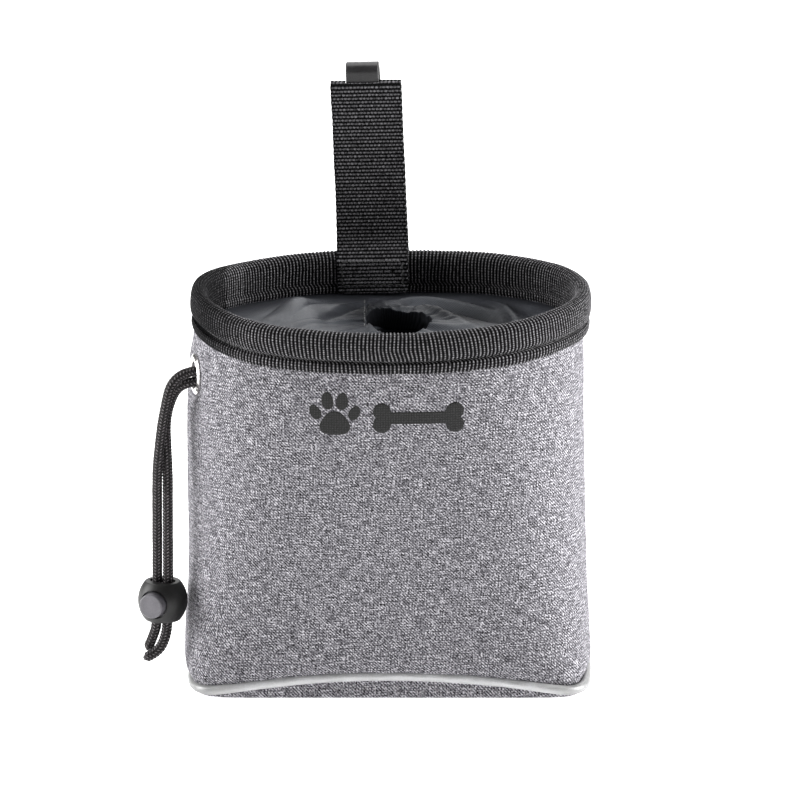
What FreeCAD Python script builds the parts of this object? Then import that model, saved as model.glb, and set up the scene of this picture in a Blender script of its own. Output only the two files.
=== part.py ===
"""Treat pouch: a soft standing bag with a hooped mouth, a drawcord closure and a belt clip.

Origin: centre of the base, on the surface it stands on. +Z up, the front faces -Y, +X to the right.
All sizes are in millimetres and come from the spreadsheet "Dims".
"""
import FreeCAD
import Part
import Sketcher
import math
import os
from FreeCAD import Placement, Rotation, Vector

doc = FreeCAD.newDocument("treat_pouch")

# ---------------------------------------------------------------- driving dimensions
DIMS = [
    # base
    ("base_half_width", 67.5), ("base_half_depth", 26.0), ("base_square", 9.0),
    ("cloth", 1.4), ("tray_rise", 9.0),
    ("board_thick", 1.8), ("board_gap", 0.1), ("board_inset", 2.2),
    # seam between base and walls: an arch, high at the centre of the front and back
    ("seam_low", 2.3), ("seam_high", 8.4), ("seam_half_span", 64.0),
    # piping
    ("piping_radius", 1.7), ("piping_core_radius", 1.0),
    # walls
    ("wall_top", 131.0), ("lining_thick", 0.6), ("lining_gap", 0.3), ("lining_top", 130.8),
    # rim tape, folded over the hoop
    ("rim_low", 126.5), ("rim_crease", 130.6), ("rim_top", 142.0),
    ("rim_half_width", 71.0), ("rim_half_depth", 56.0), ("rim_square", 2.4),
    ("tier_half_width", 70.5), ("tier_half_depth", 54.9),
    ("slot_out_half_width", 69.6), ("slot_out_half_depth", 53.9),
    ("slot_in_half_width", 66.4), ("slot_in_half_depth", 50.3),
    ("rim_in_half_width", 65.2), ("rim_in_half_depth", 49.1),
    ("slot_top", 140.8), ("rim_round", 1.0),
    ("hoop_low", 131.6), ("hoop_high", 140.0),
    ("hoop_half_width", 68.8), ("hoop_half_depth", 53.1), ("hoop_thick", 1.0),
    ("sleeve_length", 16.0), ("sleeve_at", 36.0),
    # closure collar
    ("collar_low", 127.2), ("collar_high", 131.0), ("collar_thick", 1.0),
    ("neck_radius", 10.5), ("neck_x", 3.0), ("neck_y", 1.0),
    ("channel_radius", 3.0), ("channel_bore", 2.0), ("channel_ring", 14.5), ("channel_z", 124.6),
    # cords
    ("cord_dia", 3.7),
    # eyelet
    ("eyelet_x", -68.5), ("eyelet_y", -11.0), ("eyelet_z", 114.8),
    ("eyelet_turn", 13.5), ("eyelet_lean", 0.5),
    ("eyelet_bore", 4.6), ("eyelet_barrel", 5.2), ("eyelet_flange", 7.25), ("eyelet_thick", 1.0),
    # cord lock
    ("lock_x", -80.5), ("lock_y", -13.0), ("lock_z", 32.3), ("lock_turn", -25.0),
    ("lock_radius", 8.85), ("lock_flat", 6.2), ("lock_half_height", 7.1),
    ("lock_slot_long", 9.6), ("lock_slot_wide", 5.6),
    ("lock_mouth", 5.2), ("lock_shoulder", 5.2), ("lock_bore", 5.9), ("lock_bore_end", 5.6),
    ("button_radius", 4.45), ("button_face", 10.2),
    ("plunger_radius", 5.6), ("plunger_front", 5.0), ("plunger_rear", 3.2),
    ("plunger_slot_half", 3.95), ("plunger_slot_front", 3.85), ("plunger_slot_rear", 2.35),
    ("spring_wire", 0.2), ("spring_coil", 2.6),
    # strap, webbing folded double
    ("strap_wide", 25.0), ("web", 1.4), ("strap_pocket", 1.4), ("strap_x", -6.0), ("strap_y", 52.7),
    ("strap_hinge_z", 145.4), ("strap_long", 60.0), ("strap_lean", -2.4), ("strap_twist", -5.0),
    ("root_low", 128.6), ("root_high", 141.9), ("root_in_y", 46.3), ("root_out_y", 56.1),
    # belt clip
    ("clip_wide", 11.7), ("clip_thick", 1.2), ("clip_bend", 2.9), ("clip_centre_up", 62.8),
    ("clip_x", -1.2), ("clip_inner_long", 48.0), ("clip_outer_long", 50.0), ("clip_slot", 12.6),
    ("rivet_radius", 1.6), ("rivet_head", 2.6),
]
sheet = doc.addObject("Spreadsheet::Sheet", "Dims")
for row, (name, value) in enumerate(DIMS, 1):
    sheet.set("A%d" % row, name)
    sheet.set("B%d" % row, str(value))
    sheet.setAlias("B%d" % row, name)
doc.recompute()


def dim(name):
    """A driving dimension, read back from the sheet."""
    return float(sheet.get(name))


NODES = []


# ---------------------------------------------------------------- helpers
def new_body(label):
    body = doc.addObject("PartDesign::Body", label)
    body.Label = label
    NODES.append(body)
    return body


def origin_plane(body, role):
    return next(f for f in body.Origin.OriginFeatures if f.Role == role)


def new_sketch(body, name, role="XY_Plane", lift=None):
    """A sketch on one of the body's own origin planes, lifted along its normal by an expression."""
    sketch = body.newObject("Sketcher::SketchObject", name)
    sketch.AttachmentSupport = [(origin_plane(body, role), "")]
    sketch.MapMode = "FlatFace"
    if lift:
        sketch.setExpression("AttachmentOffset.Base.z", lift)
    return sketch


def pad(body, sketch, length, name, reverse=False, both=False):
    feature = body.newObject("PartDesign::Pad", name)
    feature.Profile = sketch
    feature.setExpression("Length", length)
    feature.Reversed = reverse
    feature.Midplane = both
    doc.recompute()
    return feature


def pocket(body, sketch, name, length=None, reverse=False, both=False):
    """Cuts a sketch through everything, or to a length; the volume must go down."""
    before = body.Shape.Volume
    feature = body.newObject("PartDesign::Pocket", name)
    feature.Profile = sketch
    feature.Reversed = reverse
    feature.Midplane = both
    if length:
        feature.setExpression("Length", length)
    else:
        feature.Type = "ThroughAll"
    doc.recompute()
    if body.Shape.Volume > before - 0.1:
        raise RuntimeError("%s: %s cuts nothing" % (body.Label, name))
    return feature


def add_circle(sketch, x, y, radius_expr, radius):
    index = sketch.addGeometry(Part.Circle(Vector(x, y, 0), Vector(0, 0, 1), radius), False)
    number = sketch.addConstraint(Sketcher.Constraint("Radius", index, radius))
    sketch.setExpression("Constraints[%d]" % number, radius_expr)


def add_rectangle(sketch, x0, y0, x1, y1):
    corners = [Vector(x0, y0, 0), Vector(x1, y0, 0), Vector(x1, y1, 0), Vector(x0, y1, 0)]
    for i in range(4):
        sketch.addGeometry(Part.LineSegment(corners[i], corners[(i + 1) % 4]), False)


def half_outline(a, b, n, side, count=24):
    """Half of |x/a|^n + |y/b|^2 = 1, from +X round to -X through y = side * b, as one spline."""
    points = []
    for i in range(count + 1):
        turn = math.pi * i / count
        c, s = abs(math.cos(turn)), math.sin(turn)
        low, high = 0.5, 2.0
        for _ in range(50):
            r = 0.5 * (low + high)
            if (r * c) ** n + (r * s) ** 2 > 1:
                high = r
            else:
                low = r
        x = math.copysign(a * r * c, math.cos(turn)) if 0 < i < count else a * (1 - 2 * (i > 0))
        points.append(Vector(x, side * b * r * s if 0 < i < count else 0.0, 0))
    curve = Part.BSplineCurve()
    speed = math.pi * b
    curve.interpolate(
        Points=points,
        Parameters=[i / count for i in range(count + 1)],
        InitialTangent=Vector(0, side * speed, 0),
        FinalTangent=Vector(0, -side * speed, 0),
        Scale=False,
    )
    return curve


def full_outline(sketch, a, b, n):
    sketch.addGeometry(half_outline(a, b, n, -1), False)
    sketch.addGeometry(half_outline(a, b, n, 1), False)


# Wall sections: height, half width, half depth, squareness. The base is nearly a rectangle
# and the mouth nearly an ellipse, so the front and back lean outwards and the sides stay upright.
WALL = [
    (0.0, 69.8, 27.6, 9.0),
    (12.0, 71.3, 30.4, 7.0),
    (32.0, 71.1, 34.4, 5.0),
    (76.0, 70.2, 43.4, 3.3),
    (108.0, 69.8, 49.6, 2.7),
    (dim("wall_top"), 69.3, 53.6, 2.4),
]


def crescent_loft(body, side, inset_out, inset_in):
    """Half of the wall as a shell, lofted through crescent-shaped sketches."""
    sketches = []
    for i, (z, a, b, n) in enumerate(WALL):
        sketch = new_sketch(body, "%s_section_%d" % (body.Label, i))
        sketch.AttachmentOffset = Placement(Vector(0, 0, z), Rotation())
        if i == len(WALL) - 1:
            sketch.setExpression("AttachmentOffset.Base.z", "Dims.wall_top")
        sketch.addGeometry(half_outline(a - inset_out, b - inset_out, n, side), False)
        sketch.addGeometry(half_outline(a - inset_in, b - inset_in, n, side), False)
        for end in (1, -1):
            outer = Vector(end * (a - inset_out), 0, 0)
            inner = Vector(end * (a - inset_in), 0, 0)
            sketch.addGeometry(Part.LineSegment(outer, inner), False)
        sketches.append(sketch)
    doc.recompute()
    loft = body.newObject("PartDesign::AdditiveLoft", body.Label + "_loft")
    loft.Profile = sketches[0]
    loft.Sections = sketches[1:]
    loft.Ruled = False
    doc.recompute()


def arch_sketch(body, name, lift, up):
    """In the XZ plane: the region under (or over) the arched seam, moved up by lift."""
    sketch = new_sketch(body, name, "XZ_Plane")
    half, low, high = dim("seam_half_span"), dim("seam_low") + lift, dim("seam_high") + lift
    wide, limit = 90.0, (60.0 if up else -20.0)
    sketch.addGeometry(Part.Arc(Vector(-half, low, 0), Vector(0, high, 0), Vector(half, low, 0)), False)
    chain = [(half, low), (wide, low), (wide, limit), (-wide, limit), (-wide, low), (-half, low)]
    for (x0, z0), (x1, z1) in zip(chain, chain[1:]):
        sketch.addGeometry(Part.LineSegment(Vector(x0, z0, 0), Vector(x1, z1, 0)), False)
    doc.recompute()
    return sketch


def eyelet_frame():
    """Placement whose +Z axis is the outward normal of the wall at the eyelet."""
    turn = Rotation(Vector(0, 0, 1), dim("eyelet_turn"))
    lean = Rotation(Vector(0, 1, 0), dim("eyelet_lean"))
    out = Rotation(Vector(0, 1, 0), -90)
    place = Vector(dim("eyelet_x"), dim("eyelet_y"), dim("eyelet_z"))
    return Placement(place, turn * lean * out)


def eyelet_hole(body, name, radius):
    hole = body.newObject("PartDesign::SubtractiveCylinder", name)
    hole.setExpression("Radius", radius)
    hole.Height = 16
    frame = eyelet_frame()
    hole.AttachmentOffset = Placement(frame.Base - frame.Rotation.multVec(Vector(0, 0, 8)), frame.Rotation)
    hole.AttachmentSupport = [(origin_plane(body, "XY_Plane"), "")]
    hole.MapMode = "FlatFace"
    doc.recompute()


# ---------------------------------------------------------------- front and back panels
for label, side in (("front_panel", -1), ("back_panel", 1)):
    panel = new_body(label)
    crescent_loft(panel, side, 0.0, dim("cloth"))
    cut = arch_sketch(panel, label + "_seam", dim("piping_radius") + 0.15, False)
    pocket(panel, cut, label + "_trim", both=True)
    if side < 0:
        eyelet_hole(panel, label + "_eyelet_hole", "Dims.eyelet_barrel + 0.05")

# ---------------------------------------------------------------- base panel: a shallow cloth tray
base = new_body("base_panel")
outer = new_sketch(base, "base_outline")
full_outline(outer, dim("base_half_width"), dim("base_half_depth"), dim("base_square"))
pad(base, outer, "Dims.tray_rise", "base_block")
hollow = new_sketch(base, "base_hollow", lift="Dims.cloth")
full_outline(
    hollow,
    dim("base_half_width") - dim("cloth"),
    dim("base_half_depth") - dim("cloth"),
    dim("base_square"),
)
pocket(base, hollow, "base_inside", reverse=True)
pocket(base, arch_sketch(base, "base_seam", -0.4, True), "base_trim", both=True)

board = new_body("base_board")
board_outline = new_sketch(board, "board_outline", lift="Dims.cloth + Dims.board_gap")
full_outline(
    board_outline,
    dim("base_half_width") - dim("board_inset"),
    dim("base_half_depth") - dim("board_inset"),
    dim("base_square"),
)
pad(board, board_outline, "Dims.board_thick", "board_pad")

# ---------------------------------------------------------------- piping round the base seam
def seam_height(x):
    half, low, high = dim("seam_half_span"), dim("seam_low"), dim("seam_high")
    rise = high - low
    radius = (half * half + rise * rise) / (2 * rise)
    if abs(x) >= half:
        return low
    return high - radius + math.sqrt(radius * radius - x * x)


def rounded_wire(points, closed=False, show=None):
    """Straight runs joined by tangent arcs, each arc as large as its two runs allow."""
    count = len(points)
    corners = range(count) if closed else range(1, count - 1)
    arcs = {}
    for i in corners:
        before, here, after = points[i - 1], points[i], points[(i + 1) % count]
        u, v = (before - here), (after - here)
        reach = 0.45 * min(u.Length, v.Length)
        u.normalize()
        v.normalize()
        half_turn = 0.5 * (math.pi - u.getAngle(v))
        radius = reach / math.tan(half_turn)
        middle = (u + v).normalize()
        centre = here + middle * (radius / math.cos(half_turn))
        mid = centre - middle * radius
        arcs[i] = (here + u * reach, mid, here + v * reach, radius)
    edges = []
    order = list(corners)
    at = points[0] if not closed else arcs[order[-1]][2]
    for i in order:
        start, mid, end, _ = arcs[i]
        edges.append(Part.LineSegment(at, start).toShape())
        edges.append(Part.Arc(start, mid, end).toShape())
        at = end
    if not closed:
        edges.append(Part.LineSegment(at, points[-1]).toShape())
    if show:
        print(show, "radii", [round(arcs[i][3], 1) for i in order])
    return Part.Wire(edges)


def tube(wire, radius):
    """A round section swept along a wire, checked against section times length."""
    first = wire.OrderedEdges[0]
    start = first.valueAt(first.FirstParameter)
    ahead = first.tangentAt(first.FirstParameter)
    ring = Part.Wire([Part.Circle(start, ahead, radius).toShape()])
    shape = wire.makePipeShell([ring], True, False, 1)
    expected = math.pi * radius ** 2 * wire.Length
    if not shape.isValid() or abs(shape.Volume / expected - 1) > 0.03:
        raise RuntimeError("tube volume %.1f, expected %.1f" % (shape.Volume, expected))
    return shape


def new_feature(label, shape, at=None):
    feature = doc.addObject("Part::Feature", label)
    feature.Label = label
    feature.Shape = shape
    feature.Placement = (at or Placement()).multiply(shape.Placement)
    NODES.append(feature)
    return feature


PIPING_PLAN = [
    (0.0, -27.75), (26.0, -27.75), (48.0, -27.3), (62.5, -24.6), (68.7, -14.0), (69.6, 0.0),
]
plan = PIPING_PLAN + [(x, -y) for x, y in reversed(PIPING_PLAN[:-1])]
plan = plan + [(-x, y) for x, y in reversed(plan[1:-1])]
piping_points = [Vector(x, y, seam_height(x)) for x, y in plan]
piping_wire = rounded_wire(piping_points, closed=True)
sleeve_tube = tube(piping_wire, dim("piping_radius"))
core_tube = tube(piping_wire, dim("piping_core_radius"))
new_feature("piping_sleeve", sleeve_tube.cut(core_tube))
new_feature("piping_core", core_tube)

# ---------------------------------------------------------------- lining: a thin bag inside the walls
lining = new_body("lining")
LINING_FLOOR = 3.6
gap = dim("cloth") + dim("lining_gap")


def lining_sections(name, inset, low):
    sketches = []
    for i, (z, a, b, n) in enumerate(WALL):
        z = low if i == 0 else (dim("lining_top") if i == len(WALL) - 1 else z)
        extra = (3.4, 3.2, 1.8, 0.9, 0.2, 0.0)[i]
        sketch = new_sketch(lining, "%s_%d" % (name, i))
        sketch.AttachmentOffset = Placement(Vector(0, 0, z), Rotation())
        full_outline(sketch, a - inset - extra, b - inset - extra, n)
        sketches.append(sketch)
    doc.recompute()
    return sketches


for kind, inset, low in (
    ("AdditiveLoft", gap, LINING_FLOOR),
    ("SubtractiveLoft", gap + dim("lining_thick"), LINING_FLOOR + dim("lining_thick")),
):
    sections = lining_sections("lining_" + kind.lower(), inset, low)
    if kind == "SubtractiveLoft":
        sections[-1].AttachmentOffset = Placement(Vector(0, 0, dim("lining_top") + 0.001), Rotation())
    loft = lining.newObject("PartDesign::" + kind, "lining_" + kind)
    loft.Profile = sections[0]
    loft.Sections = sections[1:]
    doc.recompute()
eyelet_hole(lining, "lining_eyelet_hole", "Dims.eyelet_barrel + 0.05")

# ---------------------------------------------------------------- rim tape folded over the hoop
rim = new_body("rim_tape")
tier = new_sketch(rim, "rim_tier_outline", lift="Dims.rim_low")
full_outline(tier, dim("tier_half_width"), dim("tier_half_depth"), dim("rim_square"))
pad(rim, tier, "Dims.rim_crease - Dims.rim_low", "rim_tier")
roll = new_sketch(rim, "rim_roll_outline", lift="Dims.rim_crease")
full_outline(roll, dim("rim_half_width"), dim("rim_half_depth"), dim("rim_square"))
pad(rim, roll, "Dims.rim_top - Dims.rim_crease", "rim_roll")
mouth = new_sketch(rim, "rim_mouth", lift="Dims.rim_top")
full_outline(mouth, dim("rim_in_half_width"), dim("rim_in_half_depth"), dim("rim_square"))
pocket(rim, mouth, "rim_opening")
slot = new_sketch(rim, "rim_slot", lift="Dims.rim_low")
full_outline(slot, dim("slot_out_half_width"), dim("slot_out_half_depth"), dim("rim_square"))
full_outline(slot, dim("slot_in_half_width"), dim("slot_in_half_depth"), dim("rim_square"))
pocket(rim, slot, "rim_fold", "Dims.slot_top - Dims.rim_low", reverse=True)
top_edges = []
for i, edge in enumerate(rim.Shape.Edges, 1):
    box = edge.BoundBox
    if box.ZMin > dim("rim_top") - 0.01:
        top_edges.append("Edge%d" % i)
rim_solid = rim.Tip
rounding = rim.newObject("PartDesign::Fillet", "rim_rounding")
rounding.Base = (rim_solid, top_edges)
rounding.setExpression("Radius", "Dims.rim_round")
doc.recompute()

hoop = new_body("rim_hoop")
strip = new_sketch(hoop, "hoop_outline", lift="Dims.hoop_low")
full_outline(strip, dim("hoop_half_width"), dim("hoop_half_depth"), dim("rim_square"))
thick = dim("hoop_thick")
full_outline(strip, dim("hoop_half_width") - thick, dim("hoop_half_depth") - thick, dim("rim_square"))
pad(hoop, strip, "Dims.hoop_high - Dims.hoop_low", "hoop_strip")


# The crimp that joins the hoop's two ends: a flat tube round the strip, behind the right side.
def ring_solid(a0, b0, a1, b1, low, high):
    wires = []
    for a, b in ((a0, b0), (a1, b1)):
        halves = [half_outline(a, b, dim("rim_square"), s).toShape() for s in (-1, 1)]
        wires.append(Part.Wire(halves))
    outer_face, inner_face = Part.Face(wires[0]), Part.Face(wires[1])
    flat = outer_face.cut(inner_face)
    flat.translate(Vector(0, 0, low))
    return flat.extrude(Vector(0, 0, high - low))


hw, hd = dim("hoop_half_width"), dim("hoop_half_depth")


def ring_about_hoop(margin, rise):
    """A ring that encloses the hoop's strip with a margin all round."""
    wide, deep = hw - thick, hd - thick
    return ring_solid(
        hw + margin, hd + margin, wide - margin, deep - margin, dim("hoop_low") - rise, dim("hoop_high") + rise
    )


sleeve_ring = ring_about_hoop(0.45, 0.4)
strip_ring = ring_about_hoop(0.03, 0.03)
window = Part.makeBox(
    dim("sleeve_length"), 60, 40, Vector(dim("sleeve_at") - dim("sleeve_length") / 2, 5, 115)
)
new_feature("hoop_sleeve", sleeve_ring.common(window).cut(strip_ring))

# ---------------------------------------------------------------- closure collar with its cord channel
collar_edge = (dim("rim_in_half_width") - 0.3, dim("rim_in_half_depth") - 0.3)
neck_edge = dim("neck_radius") + 3


def collar_loft(kind, drop, name):
    sections = []
    for lift, a, b, n, x, y in (
        ("Dims.collar_low", collar_edge[0], collar_edge[1], dim("rim_square"), 0, 0),
        ("Dims.collar_high", neck_edge, neck_edge, 2.0, dim("neck_x"), dim("neck_y")),
    ):
        sketch = new_sketch(collar, "%s_%d" % (name, len(sections)), lift="%s - %s" % (lift, drop))
        for half in (half_outline(a, b, n, -1), half_outline(a, b, n, 1)):
            half.translate(Vector(x, y, 0))
            sketch.addGeometry(half, False)
        sections.append(sketch)
    doc.recompute()
    loft = collar.newObject("PartDesign::" + kind, name + "_loft")
    loft.Profile = sections[0]
    loft.Sections = sections[1:]
    doc.recompute()


collar = new_body("closure_collar")
collar_loft("AdditiveLoft", "0", "collar_top")
collar_loft("SubtractiveLoft", "Dims.collar_thick", "collar_under")
neck = new_sketch(collar, "collar_neck", lift="Dims.collar_high + 1")
add_circle(neck, dim("neck_x"), dim("neck_y"), "Dims.neck_radius", dim("neck_radius"))
pocket(collar, neck, "collar_opening")

# The channel hemmed under the collar, round the neck, that the drawcord runs in.
channel = doc.addObject("Part::Torus", "channel_outside")
channel.setExpression("Radius1", "Dims.channel_ring")
channel.setExpression("Radius2", "Dims.channel_radius")
channel_hole = doc.addObject("Part::Torus", "channel_inside")
channel_hole.setExpression("Radius1", "Dims.channel_ring")
channel_hole.setExpression("Radius2", "Dims.channel_bore")
slit = doc.addObject("Part::Box", "channel_slit")
slit.Length = 9
slit.Width = 10
slit.Height = 8
slit.setExpression("Placement.Base.x", "-Dims.channel_ring - 5")
slit.Placement.Base.y = -5
slit.Placement.Base.z = -4
hem = doc.addObject("Part::Cut", "channel_hem")
hem.Base = channel
hem.Tool = channel_hole
hem_open = doc.addObject("Part::Cut", "collar_channel")
hem_open.Base = hem
hem_open.Tool = slit
hem_open.Label = "collar_channel"
for axis, name in (("x", "neck_x"), ("y", "neck_y"), ("z", "channel_z")):
    hem_open.setExpression("Placement.Base." + axis, "Dims." + name)
NODES.append(hem_open)
doc.recompute()

# ---------------------------------------------------------------- eyelet and its washer
def revolved(label, profile, place):
    """A body turned about its own Z axis from a closed profile of (radius, height) points."""
    body = new_body(label)
    sketch = new_sketch(body, label + "_profile", "XZ_Plane")
    for (r0, z0), (r1, z1) in zip(profile, profile[1:] + profile[:1]):
        sketch.addGeometry(Part.LineSegment(Vector(r0, z0, 0), Vector(r1, z1, 0)), False)
    turn = body.newObject("PartDesign::Revolution", label + "_turn")
    turn.Profile = sketch
    turn.ReferenceAxis = (sketch, ["V_Axis"])
    turn.Angle = 360
    doc.recompute()
    body.Placement = place
    return body


bore, barrel, flange = dim("eyelet_bore"), dim("eyelet_barrel"), dim("eyelet_flange")
rise = dim("eyelet_thick")
low_end = -(dim("cloth") + dim("lining_thick")) - 2.6
eyelet = revolved(
    "eyelet",
    [
        (bore, low_end), (barrel, low_end), (barrel, 0.1), (flange, 0.1),
        (flange, 0.1 + 0.45 * rise), (flange - 0.9, 0.1 + rise), (bore + 0.7, 0.1 + rise),
        (bore, 0.1 + 0.5 * rise),
    ],
    eyelet_frame(),
)
washer = revolved(
    "eyelet_washer",
    [
        (barrel + 0.02, low_end), (flange, low_end), (flange, low_end + 0.5), (barrel + 0.02, low_end + 0.5),
    ],
    eyelet_frame(),
)

# ---------------------------------------------------------------- drawcord
d = dim("cord_dia")
half = 1.95
eye = eyelet_frame()


def twisted(z, x, y, degrees):
    """Two strand centres on either side of (x, y): the first one, then the other."""
    turn = math.radians(degrees)
    step = Vector(math.cos(turn), math.sin(turn), 0) * half
    return Vector(x, y, z) - step, Vector(x, y, z) + step


# Height, middle of the pair (x, y) and how far the pair is turned.
TWIST = [
    (94.0, -80.2, -12.4, 66.0),
    (86.0, -80.4, -12.7, 42.0),
    (78.0, -80.5, -12.9, 14.0),
    (70.0, -80.5, -13.0, -14.0),
]
pairs = [twisted(*row) for row in TWIST]
foot_a, foot_b = twisted(24.6, -80.5, -13.0, -14.0)
out = eye.Rotation.multVec(Vector(0, 0, 1))
start = eye.Base + out * (low_end + 0.4)
start_a = start + Vector(0, 0, 1.35)
start_b = start + Vector(0, 0, -2.4)
tail_a = [
    start_a,
    start_a + out * 7.4 + Vector(0, 0, 0.1),
    Vector(-77.6, -14.0, 112.1),
    Vector(-79.4, -14.4, 103.8),
] + [p[0] for p in pairs] + [
    foot_a, Vector(-83.6, -12.2, 19.0), Vector(-86.2, -11.9, 13.4),
]
tail_b = [
    start_b,
    start_b + out * 6.0 + Vector(0, 0, -0.1),
    Vector(-76.4, -9.9, 108.2),
    Vector(-78.9, -9.6, 101.0),
] + [p[1] for p in pairs] + [
    foot_b, Vector(-79.6, -14.2, 18.4), Vector(-82.8, -15.2, 13.4), Vector(-87.0, -15.4, 10.9),
]
wire_a = rounded_wire(tail_a, show="cord_tail_a")
wire_b = rounded_wire(tail_b, show="cord_tail_b")
print("cord lengths", round(wire_a.Length, 1), round(wire_b.Length, 1))
new_feature("cord_tail_a", tube(wire_a, d / 2))
new_feature("cord_tail_b", tube(wire_b, d / 2))

# Inside: from the eyelet to the channel, once round the neck, and back to the eyelet.
nx, ny, cz, ring = dim("neck_x"), dim("neck_y"), dim("channel_z"), dim("channel_ring")
inside_a = [
    start_a,
    start_a - out * 8 + Vector(0, 0.6, 0.4),
    Vector(-44, 4.6, 119.8),
    Vector(-27, 5.2, 123.6),
]
inside_b = [
    start_b,
    start_b - out * 8 + Vector(0, -0.6, -0.4),
    Vector(-44, -3.2, 116.8),
    Vector(-27, -3.6, 122.6),
]
loop_open = math.radians(11.0)
around = [
    Vector(nx - ring * math.cos(t), ny + ring * math.sin(t), cz)
    for t in (loop_open, math.pi, 2 * math.pi - loop_open)
]
ring_edge = Part.Arc(*around).toShape()
ring_wire = Part.Wire([ring_edge])
loop_solid = tube(ring_wire, d / 2)
lead_a = tube(rounded_wire(inside_a + [around[0] + Vector(-5.2, 0.6, 0)], show="inner a"), d / 2)
lead_b = tube(rounded_wire(inside_b + [around[2] + Vector(-5.2, -0.6, 0)], show="inner b"), d / 2)
new_feature("drawcord_loop", loop_solid)
new_feature("drawcord_lead_a", lead_a)
new_feature("drawcord_lead_b", lead_b)

# ---------------------------------------------------------------- cord lock
lock_place = Placement(
    Vector(dim("lock_x"), dim("lock_y"), dim("lock_z")), Rotation(Vector(0, 0, 1), dim("lock_turn"))
)
lock = new_body("lock_body")
side_profile = new_sketch(lock, "lock_profile", "XZ_Plane")
flat, tall, wide = dim("lock_flat"), dim("lock_half_height"), dim("lock_radius")
side_profile.addGeometry(Part.Arc(Vector(flat, -tall, 0), Vector(wide, 0, 0), Vector(flat, tall, 0)), False)
for p, q in (((flat, tall), (0, tall)), ((0, tall), (0, -tall)), ((0, -tall), (flat, -tall))):
    side_profile.addGeometry(Part.LineSegment(Vector(*p, 0), Vector(*q, 0)), False)
ball = lock.newObject("PartDesign::Revolution", "lock_ball")
ball.Profile = side_profile
ball.ReferenceAxis = (side_profile, ["V_Axis"])
ball.Angle = 360
doc.recompute()
soft = lock.newObject("PartDesign::Fillet", "lock_soft_edges")
soft.Base = (
    ball,
    ["Edge%d" % (i + 1) for i, e in enumerate(ball.Shape.Edges) if abs(abs(e.BoundBox.ZMin) - tall) < 0.01
     and abs(e.BoundBox.ZMax - e.BoundBox.ZMin) < 0.01],
)
soft.Radius = 0.6
doc.recompute()


def oblong(sketch, long, wide_):
    r = wide_ / 2
    x = long / 2 - r
    sketch.addGeometry(Part.LineSegment(Vector(-x, r, 0), Vector(x, r, 0)), False)
    sketch.addGeometry(Part.Arc(Vector(x, r, 0), Vector(x + r, 0, 0), Vector(x, -r, 0)), False)
    sketch.addGeometry(Part.LineSegment(Vector(x, -r, 0), Vector(-x, -r, 0)), False)
    sketch.addGeometry(Part.Arc(Vector(-x, -r, 0), Vector(-x - r, 0, 0), Vector(-x, r, 0)), False)


cord_way = new_sketch(lock, "lock_cord_way")
oblong(cord_way, dim("lock_slot_long"), dim("lock_slot_wide"))
pocket(lock, cord_way, "lock_cord_slot", both=True)
mouth_hole = new_sketch(lock, "lock_mouth_hole", "XZ_Plane", lift="Dims.lock_shoulder")
add_circle(mouth_hole, 0, 0, "Dims.lock_mouth", dim("lock_mouth"))
pocket(lock, mouth_hole, "lock_mouth_cut", reverse=True)
bore_hole = new_sketch(lock, "lock_bore_hole", "XZ_Plane", lift="Dims.lock_shoulder")
add_circle(bore_hole, 0, 0, "Dims.lock_bore", dim("lock_bore"))
pocket(lock, bore_hole, "lock_bore_cut", "Dims.lock_shoulder + Dims.lock_bore_end")
lock.Placement = lock_place

plunger = new_body("lock_plunger")
disc = new_sketch(plunger, "plunger_disc", "XZ_Plane", lift="-Dims.plunger_rear")
add_circle(disc, 0, 0, "Dims.plunger_radius", dim("plunger_radius"))
pad(plunger, disc, "Dims.plunger_rear + Dims.plunger_front", "plunger_drum")
button = new_sketch(plunger, "button_disc", "XZ_Plane", lift="Dims.plunger_front")
add_circle(button, 0, 0, "Dims.button_radius", dim("button_radius"))
pad(plunger, button, "Dims.button_face - Dims.plunger_front", "plunger_button")
face_edges = [
    "Edge%d" % i for i, e in enumerate(plunger.Shape.Edges, 1) if e.BoundBox.YMax < 0.01 - dim("button_face")
]
button_solid = plunger.Tip
dome = plunger.newObject("PartDesign::Fillet", "button_edge")
dome.Base = (button_solid, face_edges)
dome.Radius = 0.6
doc.recompute()
way = new_sketch(plunger, "plunger_cord_way")
side_x = dim("plunger_slot_half")
add_rectangle(way, -side_x, -dim("plunger_slot_front"), side_x, dim("plunger_slot_rear"))
pocket(plunger, way, "plunger_cord_slot", both=True)
plunger.Placement = lock_place

spring_from, spring_to = dim("plunger_rear") + 0.25, dim("lock_bore_end") - 0.25
helix = Part.makeHelix((spring_to - spring_from) / 2.5, spring_to - spring_from, dim("spring_coil"))
coil_start = Vector(dim("spring_coil"), 0, 0)
coil_ring = Part.Wire([Part.Circle(coil_start, Vector(0, 1, 0), dim("spring_wire")).toShape()])
coil = Part.Wire(helix.Edges).makePipeShell([coil_ring], True, True)
coil.rotate(Vector(0, 0, 0), Vector(1, 0, 0), -90)
coil.translate(Vector(0, spring_from, 0))
new_feature("lock_spring", coil, lock_place)

# ---------------------------------------------------------------- strap: roots, and the loop above the rim
web, pocket_gap, strap_wide = dim("web"), dim("strap_pocket"), dim("strap_wide")
for label, y in (("strap_root_inner", "Dims.root_in_y"), ("strap_root_outer", "Dims.root_out_y")):
    root = doc.addObject("Part::Box", label)
    root.Label = label
    root.setExpression("Length", "Dims.strap_wide")
    root.setExpression("Width", "Dims.web")
    root.setExpression("Height", "Dims.root_high - Dims.root_low")
    root.setExpression("Placement.Base.x", "Dims.strap_x - Dims.strap_wide / 2")
    root.setExpression("Placement.Base.y", y)
    root.setExpression("Placement.Base.z", "Dims.root_low")
    NODES.append(root)
doc.recompute()

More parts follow.
